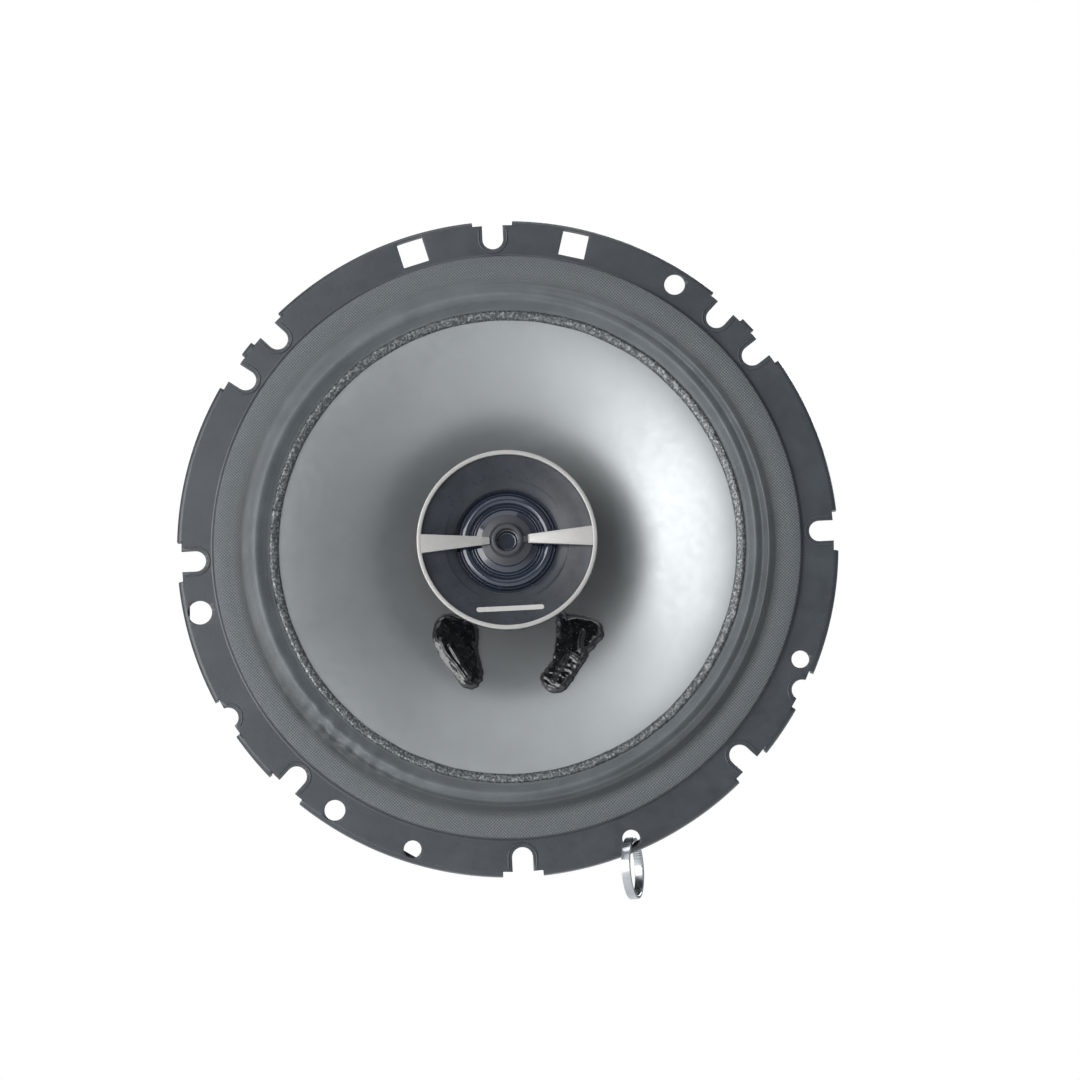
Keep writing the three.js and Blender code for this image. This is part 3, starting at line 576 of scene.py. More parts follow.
def grown(name, tree, inputs, finish, base=None, sharp=38):
    """Runs a geometry tree with these inputs and keeps the result as a plain mesh."""
    mesh = base.data.copy() if base else bpy.data.meshes.new(name)
    thing = bpy.data.objects.new(name, mesh)
    bpy.context.scene.collection.objects.link(thing)
    modifier = thing.modifiers.new("grow", "NODES")
    modifier.node_group = tree
    for item in tree.interface.items_tree:
        if item.in_out == "INPUT" and item.name in inputs:
            modifier[item.identifier] = inputs[item.name]
    return settle(thing, finish, sharp)


MILLI = 0.001
graph, given, result = geometry_tree(
    "rivets_on_a_circle",
    {
        "Rivet": ("NodeSocketObject", None),
        "Finish": ("NodeSocketMaterial", None),
        "Count": ("NodeSocketInt", 4),
        "Circle": ("NodeSocketFloat", 0.025),
        "First": ("NodeSocketFloat", 0.785),
    },
)
ring = graph.add("GeometryNodeMeshCircle", None, {"Vertices": given["Count"], "Radius": given["Circle"]})
lie_down = graph.add("ShaderNodeCombineXYZ", None, {"X": math.pi / 2, "Y": given["First"] * -1})
ring = graph.add("GeometryNodeTransform", None, {"Geometry": ring, "Rotation": lie_down})
one = graph.add("GeometryNodeObjectInfo", None, {"Object": given["Rivet"]}, output="Geometry")
copies = graph.add("GeometryNodeInstanceOnPoints", None, {"Points": ring, "Instance": one})
solid = graph.add("GeometryNodeRealizeInstances", None, {"Geometry": copies})
solid = graph.add("GeometryNodeSetMaterial", None, {"Geometry": solid, "Material": given["Finish"]})
graph.join(result, solid)
rivet_tree = graph.tree

rivet_low, rivet_high = heights_of("basket_rivet_1")
shank, head, rivet_circle = 1.8, 3.2, 25
rivet_profile = [
    (0, rivet_low),
    (shank, rivet_low),
    (shank, seat_height),
    (head, seat_height),
    (head - 0.6, rivet_high - 0.1),
    (0, rivet_high),
]
pattern = turned("rivet_pattern", eased(rivet_profile, 0.4), zinc, 32)
rivets = grown(
    "frame_rivets",
    rivet_tree,
    {"Rivet": pattern, "Finish": zinc.material, "Circle": rivet_circle * MILLI, "First": math.radians(45)},
    zinc,
)
bpy.data.objects.remove(pattern)
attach(rivets, "chassis")
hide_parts(*[f"basket_rivet_{k}" for k in range(1, 5)])


# ---- Spider -------------------------------------------------------------------------------------------
# A disc of open cotton weave, stiffened with resin and pressed into waves. It centres the coil: glued to the
# former inside and to the frame's shelf outside, it bends when the cone moves.

spider_cloth = Finish("resin_cotton", "spider_cloth", roughness=0.85)
threads_per_metre = 7000
warp_threads = (spider_cloth.across * threads_per_metre).maths("SINE")
weft_threads = (spider_cloth.up * threads_per_metre).maths("SINE")
weave = warp_threads * weft_threads
shade = spider_cloth.spread(weave + spider_cloth.cloud(0.15, 3) * 2, 0.0, 2.0)
spider_cloth.colour_by(shade, (0.27, 0.145, 0.045), (0.47, 0.28, 0.10))
spider_cloth.raise_by(weave * 0.5 + 0.5, 0.12)

graph, given, result = geometry_tree(
    "waved_disc",
    {
        "Finish": ("NodeSocketMaterial", None),
        "Inner": ("NodeSocketFloat", 0.0132),
        "Outer": ("NodeSocketFloat", 0.0408),
        "Waves": ("NodeSocketFloat", 5.0),
        "Wave Height": ("NodeSocketFloat", 0.0007),
        "Flat": ("NodeSocketFloat", 0.1),
        "Depth": ("NodeSocketFloat", 0.0147),
        "Cloth": ("NodeSocketFloat", 0.0005),
    },
)
sheet_grid = graph.add(
    "GeometryNodeMeshGrid", None, {"Size X": 1.0, "Size Y": 1.0, "Vertices X": 241, "Vertices Y": 101}
)
spot = graph.add("ShaderNodeSeparateXYZ", None, {0: graph.add("GeometryNodeInputPosition")})
turn_by = spot.output("X") * 2 * math.pi
out_by = spot.output("Y") + 0.5
reach = given["Inner"] + (given["Outer"] - given["Inner"]) * out_by
last_wave = 1 - given["Flat"] * 1.6
waved = graph.add("ShaderNodeMapRange", None, {0: out_by, 1: given["Flat"], 2: last_wave, 3: 0.0, 4: 1.0})
from_middle = (waved - 0.5).maths("ABSOLUTE")
ends = graph.add("ShaderNodeMapRange", None, {0: from_middle, 1: 0.44, 2: 0.5, 3: 1.0, 4: 0.0})
wave = (waved * given["Waves"] * 2 * math.pi).maths("SINE") * given["Wave Height"] * ends
moved = graph.add(
    "ShaderNodeCombineXYZ",
    None,
    {"X": reach * turn_by.maths("COSINE"), "Y": given["Depth"] + wave, "Z": reach * turn_by.maths("SINE")},
)
disc = graph.add("GeometryNodeSetPosition", None, {"Geometry": sheet_grid, "Position": moved})
disc = graph.add("GeometryNodeMergeByDistance", None, {"Geometry": disc, "Distance": 1e-6})
disc = graph.add("GeometryNodeSetMaterial", None, {"Geometry": disc, "Material": given["Finish"]})
graph.join(result, disc)

spider_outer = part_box("spider")[1][2] * 1000
spider = grown(
    "spider_disc",
    graph.tree,
    {
        "Finish": spider_cloth.material,
        "Inner": 13.2 * MILLI,
        "Outer": spider_outer * MILLI,
        "Depth": -(shelf_height + 0.15) * MILLI,
    },
    spider_cloth,
)
cloth_wall = spider.modifiers.new("cloth", "SOLIDIFY")
cloth_wall.thickness = 0.5 * MILLI
cloth_wall.offset = 0
spider = settle(spider, spider_cloth)


def bends_outwards(thing):
    """Bakes the piece's placement into its mesh."""
    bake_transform(thing)


bends_outwards(spider)
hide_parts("spider")


# ---- Voice coil ---------------------------------------------------------------------------------------
# Enamelled copper wire is wound in two layers on a film tube, which runs in the gap round the pole and is
# glued to the cone's neck and the spider.

film_tube = Finish("coil_film", "former_film", roughness=0.42)
film_tube.colour_by(film_tube.cloud(0.3, 2), (0.11, 0.05, 0.02), (0.16, 0.08, 0.03))
film_tube.roughen(film_tube.cloud(1.0, 2), 0.34, 0.5)

former_low, former_high = heights_of("coil_former")
tube_in, tube_out = 12.55, 12.9
tube_profile = [(tube_in, former_low), (tube_out, former_low)]
tube_profile += [(tube_out, former_high), (tube_in, former_high)]
former = turned("coil_tube", tube_profile, film_tube, 128)
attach(former, "cone_assembly")
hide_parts("coil_former")

copper = Finish("enamelled_copper", "copper", roughness=0.3, metallic=0.9)
copper.colour_by(copper.cloud(0.5, 2), (0.45, 0.16, 0.06), (0.34, 0.10, 0.035))
copper.roughen(copper.cloud(2.0, 2), 0.24, 0.4)

winding_low, winding_high = heights_of("coil_winding")
wire_in, wire_out, wire_swell = 12.93, 13.2, 0.15
steps_of_winding = 30 * 4
wound = [(wire_in, winding_high), (wire_in, winding_low)]
for k in range(steps_of_winding + 1):
    swell = abs(math.sin(math.pi * k / 4))
    height = winding_low + (winding_high - winding_low) * k / steps_of_winding
    wound.append((wire_out + wire_swell * swell, height))
winding = turned("coil_winding_wire", wound, copper, 128)
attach(winding, "cone_assembly")
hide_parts("coil_winding")


# ---- Cone ---------------------------------------------------------------------------------------------
# Pressed pulp with mineral fibres, lacquered silver-grey. It is steep at the neck and flatter at the rim,
# and glued to the former and to the surround's lip.

pearl = Finish("silver_lacquer", "silver_cone", roughness=0.34, metallic=0.7)
mottle = pearl.spread(pearl.cloud(0.045, 4), 0.35, 0.68)
fine = pearl.cloud(2.2, 3)
tone = pearl.mix(mottle, (0.335, 0.352, 0.356), (0.365, 0.383, 0.388))
pearl.colour_by(pearl.specks(1.6, 0.1) * 0.35, tone, (0.50, 0.52, 0.53))
pearl.roughen(pearl.cloud(0.5, 4), 0.32, 0.38)
pearl.raise_by(fine * 0.6 + pearl.cloud(0.35, 2) * 0.3, 0.02)

neck_radius = 13.2
rim_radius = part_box("cone")[1][0] * 1000
neck_height = -11.5
cone_depth = 15.1
lip_radius = 59.5
flare = 1.6
paper = 0.62


def cone_height(radius):
    """Height of the cone's front at a radius."""
    share = np.clip((np.asarray(radius, float) - neck_radius) / (lip_radius - neck_radius), 0, 1)
    return neck_height + cone_depth * (1 - (1 - share) ** flare)


steps = np.linspace(neck_radius, rim_radius, 60)
front = list(zip(steps, cone_height(steps)))
back = [(r, h - paper) for r, h in reversed(front)]
neck_fillet = [(neck_radius - 0.25, neck_height + 1.2), (neck_radius + 0.05, neck_height + 0.75)]
cone = turned("cone_body", [*neck_fillet, *front[1:], *back], pearl, 288)
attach(cone, "cone_assembly")
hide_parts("cone")


# ---- Surround -----------------------------------------------------------------------------------------
# Woven cloth coated with a soft black filler, pressed into two ridges. Its lip is glued on the cone and its
# flat edge on the frame's landing. The roll is slightly dented on the lower left, as worn cloth is.

cloth = Finish("coated_cloth", "surround_cloth", roughness=0.62, Sheen_Weight=0.25, Sheen_Roughness=0.5)
pitch = 2 * math.pi / 0.00078
threads = (cloth.across * pitch).maths("SINE") * (cloth.up * pitch).maths("SINE")
on_landing = cloth.spread(radius_of(cloth), 0.0668, 0.0678)
filler = cloth.spread(cloth.cloud(0.12, 4), 0.35, 0.7)
grain = cloth.cloud(2.4, 3)
base = cloth.mix(filler, (0.080, 0.092, 0.101), (0.112, 0.126, 0.137))
woven = cloth.mix(cloth.spread(threads, -0.7, 0.7), (0.050, 0.058, 0.065), (0.115, 0.128, 0.138))
# The groove between the roll and the landing is painted darker, strongest towards the bottom: painted shade
# where the groove lies in shadow.
from_valley = (radius_of(cloth) - 0.0664).maths("ABSOLUTE")
low_down = cloth.spread(cloth.up, -0.045, 0.035, 1.0, 0.25)
valley_shade = cloth.spread(from_valley, 0.0006, 0.0026, 0.85, 0.0) * low_down
weathered = cloth.mix(on_landing * 0.75 + 0.12, base, woven)
cloth.colour_by(valley_shade, weathered, (0.018, 0.022, 0.026))
cloth.roughen(cloth.cloud(0.25, 3), 0.38, 0.55)
cloth.raise_by((threads * 0.5 + 0.5) * (on_landing * 0.7 + 0.3) + grain * 0.35, 0.10)

lip_height, landing_top = 4.25, 4.95


def pressed(t, doubled):
    """Height of the roll over its foot, for t from 0 at the lip to 1 at the landing."""
    place, width = 0.42 - 0.12 * doubled, 0.25 - 0.10 * doubled
    first = (1.95 - 0.15 * doubled) * math.exp(-(((t - place) / width) ** 2))
    second = 1.75 * doubled * math.exp(-(((t - 0.73) / 0.12) ** 2))
    return (first + second) * min(1, t / 0.12, (1 - t) / 0.06)


roll_from, roll_to = 59.8, 67.6
cloth_line = [(57.6, lip_height, 0), (58.6, lip_height, 0), (59.4, lip_height - 0.02, 0)]
for k in range(1, 48):
    t = k / 48
    foot = lip_height + (landing_top - lip_height) * t
    cloth_line.append((roll_from + (roll_to - roll_from) * t, foot, t))
landing_line = [(67.75, landing_top - 0.02), (68.2, landing_top), (70.5, landing_top), (73.2, landing_top)]
landing_line += [(73.42, landing_top - 0.09), (73.5, landing_top - 0.35)]
cloth_line += [(radius, height, 0) for radius, height in landing_line]

turns = 480
worn_at, worn_over = 226, 17
ring_angles = np.arange(turns) * 2 * math.pi / turns
cloth_points = []
for radius, height, t in cloth_line:
    on_roll = max(0, 1 - abs(radius - 63.9) / 4.2)
    for angle in ring_angles:
        x, y = radius * math.cos(angle), radius * math.sin(angle)
        soft = noise.noise((x * 0.22, y * 0.22, 3.1))
        worn = math.exp(-(((math.degrees(angle) - worn_at) / worn_over) ** 2))
        crease = noise.noise((x * 0.42, y * 0.42, 7.7)) * worn
        doubled = 0.5 + 0.5 * math.cos(angle + 0.3)
        roll = pressed(t, doubled)
        cloth_points.append((x, y, height + roll + on_roll * (0.10 * soft + 1.1 * crease - 0.25 * worn)))
cloth_faces = []
for i in range(len(cloth_line) - 1):
    for k in range(turns):
        nxt = (k + 1) % turns
        cloth_faces.append((i * turns + k, (i + 1) * turns + k, (i + 1) * turns + nxt, i * turns + nxt))
surround = piece("surround_cloth", cloth_points, cloth_faces, cloth, tidy=False)
wall = surround.modifiers.new("cloth", "SOLIDIFY")
wall.thickness = 0.5 * MILLI
wall.offset = -1
surround = settle(surround, cloth, 60)
bends_outwards(surround)
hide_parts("surround")


# ---- Adhesive round the cone's edge -------------------------------------------------------------------
# A bead of clear adhesive holds the lip to the cone. It has dried rough, with small glittering lumps all
# the way round, and it moves with the cone.

dried = Finish("dried_adhesive", "glue", roughness=0.4, metallic=0.75, Coat_Weight=0.3, Coat_Roughness=0.2)
lumps = dried.spread(dried.cloud(1.6, 3), 0.45, 0.7)
dried.colour_by(lumps, (0.08, 0.088, 0.094), (0.30, 0.32, 0.33))
dried.feed("Roughness", dried.spread(dried.cloud(1.2, 2), 0.35, 0.65, 0.3, 0.55))
dried.raise_by(dried.cloud(1.5, 3), 0.25)

bead_line = [(57.35, 3.3), (57.45, 4.0), (57.7, 4.4), (58.3, 4.6)]
bead_line += [(58.9, 4.75), (59.4, 4.8), (59.75, 4.25), (59.2, 4.0)]


def lumpy(points):
    """Makes the bead wander in and out, and roughens its top."""
    rough = np.array([noise.noise((x * 1.5, y * 1.5, h)) for x, y, h in points])
    wander = np.array([noise.noise((x * 0.12, y * 0.12, 5)) for x, y, h in points])
    reach = np.hypot(points[:, 0], points[:, 1])
    grow = 1 + (wander * 0.16 + rough * 0.10) / reach
    lifted = points[:, 2] + np.where(points[:, 2] > 3.9, rough * 0.16, 0)
    return np.column_stack((points[:, 0] * grow, points[:, 1] * grow, lifted))


bead = turned("edge_adhesive", bead_line, dried, 720, 70, warp=lumpy)
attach(bead, "cone_assembly")

graph, given, result = geometry_tree(
    "glitter_on_a_ring",
    {
        "Bead": ("NodeSocketObject", None),
        "Finish": ("NodeSocketMaterial", None),
        "Density": ("NodeSocketFloat", 4500000.0),
        "Smallest": ("NodeSocketFloat", 0.00006),
        "Largest": ("NodeSocketFloat", 0.00015),
    },
)
bead_mesh = graph.add("GeometryNodeObjectInfo", None, {"Object": given["Bead"]}, output="Geometry")
normal = graph.add("GeometryNodeInputNormal")
up_facing = graph.add("ShaderNodeSeparateXYZ", None, {0: normal}).output("Y") < -0.45
scatter = graph.add(
    "GeometryNodeDistributePointsOnFaces",
    None,
    {"Mesh": bead_mesh, "Density": given["Density"], "Selection": up_facing, "Seed": 4},
)
lump = graph.add("GeometryNodeMeshIcoSphere", None, {"Radius": 1.0, "Subdivisions": 1})
size = graph.add(
    "FunctionNodeRandomValue",
    {"data_type": "FLOAT"},
    {2: given["Smallest"], 3: given["Largest"], "Seed": 9},
    output=1,
)
crumbs = graph.add("GeometryNodeInstanceOnPoints", None, {"Points": scatter, "Instance": lump, "Scale": size})
crumbs = graph.add("GeometryNodeRealizeInstances", None, {"Geometry": crumbs})
crumbs = graph.add("GeometryNodeSetMaterial", None, {"Geometry": crumbs, "Material": given["Finish"]})
graph.join(result, crumbs)
crumb_tree = graph.tree
glitter = grown("edge_adhesive_lumps", crumb_tree, {"Finish": dried.material, "Bead": bead}, dried, sharp=180)
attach(glitter, "cone_assembly")


# ---- Glue over the lead-out wires ---------------------------------------------------------------------
# The coil's two wires come out of the neck and run down the cone's face. Each is buried in a patch of
# glossy black adhesive, laid by hand, so the wire shows as a ridge and the right one is full of bubbles.

black_glue = Finish("glossy_black_glue", "glue", roughness=0.12, Coat_Weight=0.8, Coat_Roughness=0.05)
black_glue.colour_by(black_glue.cloud(0.5, 3), (0.003, 0.0035, 0.004), (0.010, 0.011, 0.012))
black_glue.feed("Roughness", black_glue.spread(black_glue.cloud(0.9, 2), 0.35, 0.7, 0.05, 0.18))
black_glue.raise_by(black_glue.cloud(1.1, 2), 0.07)

patch_edges = {
    "left": [(-17, -15), (-20, -20), (-19, -25.5), (-15.6, -30.8), (-12.8, -34.6), (-9.2, -34.6), (-7.6, -31),
             (-8.6, -25.5), (-9, -18)],
    "right": [(12, -16.5), (11, -23), (9.6, -28.6), (6.5, -33), (8.6, -36.8), (12.6, -36.6), (16, -32.4),
              (19.6, -27.2), (23, -22.6), (21, -18.4)],
}
wire_ridges = {
    "left": [[(-17.8, -22.2), (-16.6, -25.6), (-14.2, -28.6), (-12.0, -32.2)],
             [(-15.6, -23.8), (-13.4, -28.2), (-11.2, -31.8)]],
    "right": [[(17.8, -21.6), (17.0, -24.2), (16.9, -26.4)],
              [(13.4, -27.8), (12.2, -30.0), (10.6, -32.2), (9.6, -34.2)],
              [(10.6, -20.5), (10.9, -25.0), (9.9, -29.0)],
              [(14.8, -27.6), (16.4, -29.0)]],
}


def smooth_loop(points, pieces):
    """A closed curve through these points, by the Catmull-Rom rule."""
    ring = [Vector(p) for p in points]
    count = len(ring)
    result = []
    for i in range(count):
        a, b, c, d = (ring[(i + k) % count] for k in (-1, 0, 1, 2))
        for k in range(pieces):
            t = k / pieces
            point = 2 * b + (c - a) * t + (2 * a - 5 * b + 4 * c - d) * t**2 + (3 * b - a - 3 * c + d) * t**3
            result.append(tuple(point / 2))
    return result


def distance_to(points, route):
    """Distance of each point from a broken line, in the plane of the flange."""
    best = np.full(len(points), 1e9)
    for a, b in zip(route, route[1:]):
        a, b = np.array(a, float), np.array(b, float)
        along = np.clip(((points - a) @ (b - a)) / ((b - a) @ (b - a)), 0, 1)
        best = np.minimum(best, np.linalg.norm(points - (a + along[:, None] * (b - a)), axis=1))
    return best


def glue_patch(side):
    """A domed patch that follows the cone, raised where a wire runs under it."""
    edge = smooth_loop(patch_edges[side], 10)
    ragged = []
    for x, y in edge:
        push = noise.noise((x * 0.9, y * 0.9, 2.0)) * 0.35
        ragged.append((x + push, y - push))
    low, high = np.min(ragged, axis=0), np.max(ragged, axis=0)
    cell = 0.28
    xs, ys = np.meshgrid(np.arange(low[0], high[0], cell), np.arange(low[1], high[1], cell))
    grid_points = np.column_stack((xs.ravel(), ys.ravel()))
    grid_points = grid_points[inside(grid_points, ragged)]
    grid_points = grid_points[distance_to(grid_points, ragged + ragged[:1]) > cell * 0.6]
    everything = [Vector(p) for p in ragged] + [Vector(p) for p in grid_points]
    edges = [(k, (k + 1) % len(ragged)) for k in range(len(ragged))]
    spots, _, tris, _, _, _ = delaunay_2d_cdt(everything, edges, [], 1, 1e-4)
    spots, tris = np.array(spots), np.array(tris)
    from_edge = distance_to(spots, ragged + ragged[:1])
    crown = 1.35 * (1 - np.exp(-from_edge / 0.75))
    soft = np.array([noise.noise((x * 0.30, y * 0.30, 1.0)) for x, y in spots])
    fine_lumps = np.array([noise.noise((x * 1.1, y * 1.1, 6.0)) for x, y in spots])
    thick = crown * (1 + 0.35 * soft) + 0.07 * fine_lumps * crown
    for route in wire_ridges[side]:
        thick += 0.70 * np.exp(-((distance_to(spots, route) / 0.42) ** 2))
    if side == "right":
        rows = np.sin((spots[:, 0] * 0.5 + spots[:, 1] * 0.86) * 3.6 + soft * 4)
        near_tip = np.clip((-27.5 - spots[:, 1]) / 4, 0, 1)
        thick += 0.11 * rows * near_tip * np.clip(from_edge, 0, 1)
    base_height = cone_height(np.hypot(*spots.T))
    top = np.column_stack((spots, base_height + np.maximum(thick, 0.05)))
    bottom = np.column_stack((spots, base_height - 0.15))
    count = len(spots)
    faces = [tuple(tri) for tri in tris] + [tuple(tri[::-1] + count) for tri in tris]
    rim_edges = {}
    for tri in tris:
        for a, b in ((tri[0], tri[1]), (tri[1], tri[2]), (tri[2], tri[0])):
            rim_edges[(a, b)] = True
    faces += [(b, a, a + count, b + count) for a, b in rim_edges if (b, a) not in rim_edges]
    blob = piece(f"glue_{side}", np.vstack((top, bottom)), faces, black_glue, 180)
    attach(blob, "cone_assembly")
    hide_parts(f"glue_patch_{side}")
    return blob


blobs = {side: glue_patch(side) for side in patch_edges}

for side, density in (("right", 700000.0), ("left", 150000.0)):
    bubbles = grown(
        f"glue_bubbles_{side}",
        crumb_tree,
        {
            "Finish": black_glue.material,
            "Bead": blobs[side],
            "Density": density,
            "Smallest": 0.00008,
            "Largest": 0.00022,
        },
        black_glue,
        sharp=180,
    )
    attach(bubbles, "cone_assembly")


# ---- Braided leads and eyelets ------------------------------------------------------------------------
# Two leads of braided tinsel run from the terminal board through the frame's lower windows to brass
# eyelets in the cone. They flex with every stroke.

brass = Finish("tinned_brass", "tinned_brass", roughness=0.3, metallic=0.95)
brass.colour_by(brass.spread(brass.cloud(0.4, 4), 0.35, 0.7), (0.62, 0.48, 0.22), (0.46, 0.34, 0.14))
brass.roughen(brass.cloud(1.2, 3), 0.2, 0.42)
brass.raise_by(brass.cloud(2.0, 2), 0.02)

tinsel = Finish("copper_tinsel", "braid", roughness=0.42, metallic=0.75)
tinsel.colour_by(tinsel.cloud(2.5, 2), (0.50, 0.27, 0.13), (0.30, 0.15, 0.07))
tinsel.raise_by(tinsel.cloud(3.0, 2), 0.06)


def route_of(points, count):
    """Evenly many points on a smooth curve through these points."""
    ends = [Vector(points[0]) * 2 - Vector(points[1]), *map(Vector, points)]
    ends.append(Vector(points[-1]) * 2 - Vector(points[-2]))
    spans = len(points) - 1
    result = []
    for n in range(count + 1):
        at = min(n / count * spans, spans - 1e-9)
        i, t = int(at), at - int(at)
        a, b, c, d = ends[i:i + 4]
        point = 2 * b + (c - a) * t + (2 * a - 5 * b + 4 * c - d) * t**2 + (3 * b - a - 3 * c + d) * t**3
        result.append(point / 2)
    return result


def tube(name, route, radius, finish, sides=10, twist=0.0, strands=1):
    """A closed tube along a route; with strands, as many thinner tubes laid round each other."""
    points, faces = [], []
    thin = radius if strands == 1 else radius * 0.52
    lay = 0 if strands == 1 else radius * 0.50
    sideways = (route[1] - route[0]).orthogonal()
    frames = []
    for i, here in enumerate(route):
        ahead = (route[min(i + 1, len(route) - 1)] - route[max(i - 1, 0)]).normalized()
        sideways = (sideways - ahead * sideways.dot(ahead)).normalized()
        frames.append((here, sideways.copy(), ahead.cross(sideways)))
    for strand in range(strands):
        first = len(points)
        for i, (here, u, v) in enumerate(frames):
            phase = 2 * math.pi * strand / strands + twist * i
            centre = here + (u * math.cos(phase) + v * math.sin(phase)) * lay
            for k in range(sides):
                angle = 2 * math.pi * k / sides
                points.append(tuple(centre + (u * math.cos(angle) + v * math.sin(angle)) * thin))
        for i in range(len(frames) - 1):
            for k in range(sides):
                one, two = first + i * sides, first + (i + 1) * sides
                faces.append((one + k, one + (k + 1) % sides, two + (k + 1) % sides, two + k))
        faces.append(tuple(range(first, first + sides)))
        last = first + (len(frames) - 1) * sides
        faces.append(tuple(range(last + sides - 1, last - 1, -1)))
    return piece(name, points, faces, finish, 60)


def speaker_point(corner):
    """A frame point in metres as the speaker's (x, y, height) in millimetres."""
    return Vector((corner[0], corner[2], -corner[1])) * 1000


for side, sign in (("left", -1), ("right", 1)):
    eyelet_low, eyelet_high = (speaker_point(c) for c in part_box(f"cone_eyelet_{side}"))
    middle = (eyelet_low + eyelet_high) / 2
    bottom, top = sorted((eyelet_low.z, eyelet_high.z))
    ring_line = eased([(0.75, bottom), (1.8, bottom), (1.8, top), (0.75, top)], 0.3)
    shifted = np.array([middle.x, middle.y, 0])
    eyelet = turned(f"eyelet_{side}", ring_line, brass, 40, warp=lambda p, by=shifted: p + by)
    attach(eyelet, "cone_assembly")
    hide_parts(f"cone_eyelet_{side}")

    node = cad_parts[f"tinsel_lead_{side}"]
    corners = [speaker_point(v.co) for v in node.data.vertices]
    start = sum(sorted(corners, key=lambda p: p.y)[:8], Vector()) / 8
    end_height = bottom - 0.95
    way = [
        tuple(start),
        (start.x * 1.02, start.y + 4, start.z + 1.2),
        (start.x, start.y + 9, (start.z + end_height) / 2 - 1),
        (middle.x + sign * 1.2, middle.y - 4.5, end_height - 1.4),
        (middle.x, middle.y, end_height + 0.3),
    ]
    lead = tube(f"tinsel_{side}", route_of(way, 90), 0.62, tinsel, 8, twist=0.55, strands=4)
    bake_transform(lead)
    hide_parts(f"tinsel_lead_{side}")


# ---- Lips round the slots -----------------------------------------------------------------------------
# The press leaves a low raised lip round each screw slot of the flange, under the same paint. It catches the
# light as a thin line.

lip_line, lip_outer, lip_end = 0.95, 81.2, 80.9
half_turn = np.linspace(1.5, 0.5, 15) * math.pi
for angle in deep_slots + shallow_slots:
    depth = deep_centre if angle in deep_slots else shallow_centre
    reach = slot_half + lip_line
    round_end = [(depth + reach * math.cos(a), reach * math.sin(a)) for a in half_turn]
    path = [point for point in round_end if math.hypot(*point) < lip_outer]
    if angle in deep_slots:
        path = [(lip_end, -reach), *path, (lip_end, reach)]
    path = [Vector((x, y, flange_height - 0.02)) for x, y in spun(path, angle)]
    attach(tube(f"slot_lip_{angle:.0f}", path, 0.24, paint, 10), "chassis")


# ---- Terminal board -----------------------------------------------------------------------------------
# A strip of pressed fibre is riveted to the bottom spoke. It carries a wide tab for the positive wire and a
# narrow one for the negative, each stamped from tinned brass, bent square and riveted through the board.

fibre = Finish("pressed_fibre", "fibre", roughness=0.7)
flecks = fibre.cloud(0.9, 5, stretch=(1, 1, 3))
fibre.colour_by(fibre.spread(flecks, 0.3, 0.7), (0.055, 0.030, 0.018), (0.11, 0.065, 0.038))
fibre.roughen(flecks, 0.55, 0.8)
fibre.raise_by(flecks, 0.05)

wall_foot, board_radius = frame_line[3][0], 50.5
wall_slope = math.atan2(frame_line[4][1] - shelf_height, frame_line[4][0] - wall_foot)
board_back = Vector((0, -math.sin(wall_slope), -math.cos(wall_slope)))
board_along = board_back.cross(Vector((1, 0, 0)))
board_height = shelf_height + math.tan(wall_slope) * (board_radius - wall_foot)
board_origin = Vector((0, -board_radius, board_height)) + board_back * sheet
board_frame = Matrix((Vector((1, 0, 0)), board_along, board_back)).transposed()


def on_board(points):
    """Points from the board's own frame, across, along and back, to the speaker's."""
    return np.array([board_frame @ Vector(p) + board_origin for p in points])


def slab(name, outline, low, high, finish, holes=(), rim=0.12, place=on_board):
    """A plate with eased edges, cut to an outline, with round holes, in a frame of its own."""
    curve = bpy.data.curves.new(name, "CURVE")
    curve.dimensions = "2D"
    curve.fill_mode = "BOTH"
    for loop in [outline, *[hole[::-1] for hole in holes]]:
        spline = curve.splines.new("POLY")
        spline.points.add(len(loop) - 1)
        for point, (x, y) in zip(spline.points, loop):
            point.co = (x, y, 0, 1)
        spline.use_cyclic_u = True
    curve.extrude = (high - low) / 2 - rim
    curve.bevel_depth = rim
    curve.bevel_resolution = 2
    curve.offset = -rim
    holder = bpy.data.objects.new(name, curve)
    bpy.context.scene.collection.objects.link(holder)
    bpy.context.view_layer.update()
    depsgraph = bpy.context.evaluated_depsgraph_get()
    mesh = bpy.data.meshes.new_from_object(holder.evaluated_get(depsgraph), depsgraph=depsgraph)
    points = [(v.co.x, v.co.y, v.co.z + (low + high) / 2) for v in mesh.vertices]
    faces = [tuple(face.vertices) for face in mesh.polygons]
    bpy.data.objects.remove(holder)
    return piece(name, place(points), faces, finish, 32)


def rounded_box(half_x, half_y, corner, centre=(0, 0), steps=6):
    """A closed loop of points round a rectangle with rounded corners."""
    loop = []
    for quarter, (sx, sy) in enumerate(((1, 1), (-1, 1), (-1, -1), (1, -1))):
        for k in range(steps + 1):
            angle = math.pi / 2 * (quarter + k / steps)
            x = sx * (half_x - corner) + corner * math.cos(angle)
            y = sy * (half_y - corner) + corner * math.sin(angle)
            loop.append((centre[0] + x, centre[1] + y))
    return loop


board_front, board_rear = 0.3, 1.9
tab_offset = 10.5
board = slab(
    "fibre_board",
    rounded_box(16.5, 6, 1.2),
    board_front,
    board_rear,
    fibre,
    holes=[circle(1.7, 24), circle(1.3, 20, (-tab_offset, 0)), circle(1.3, 20, (tab_offset, 0))],
)
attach(board, "chassis")
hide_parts("terminal_board")


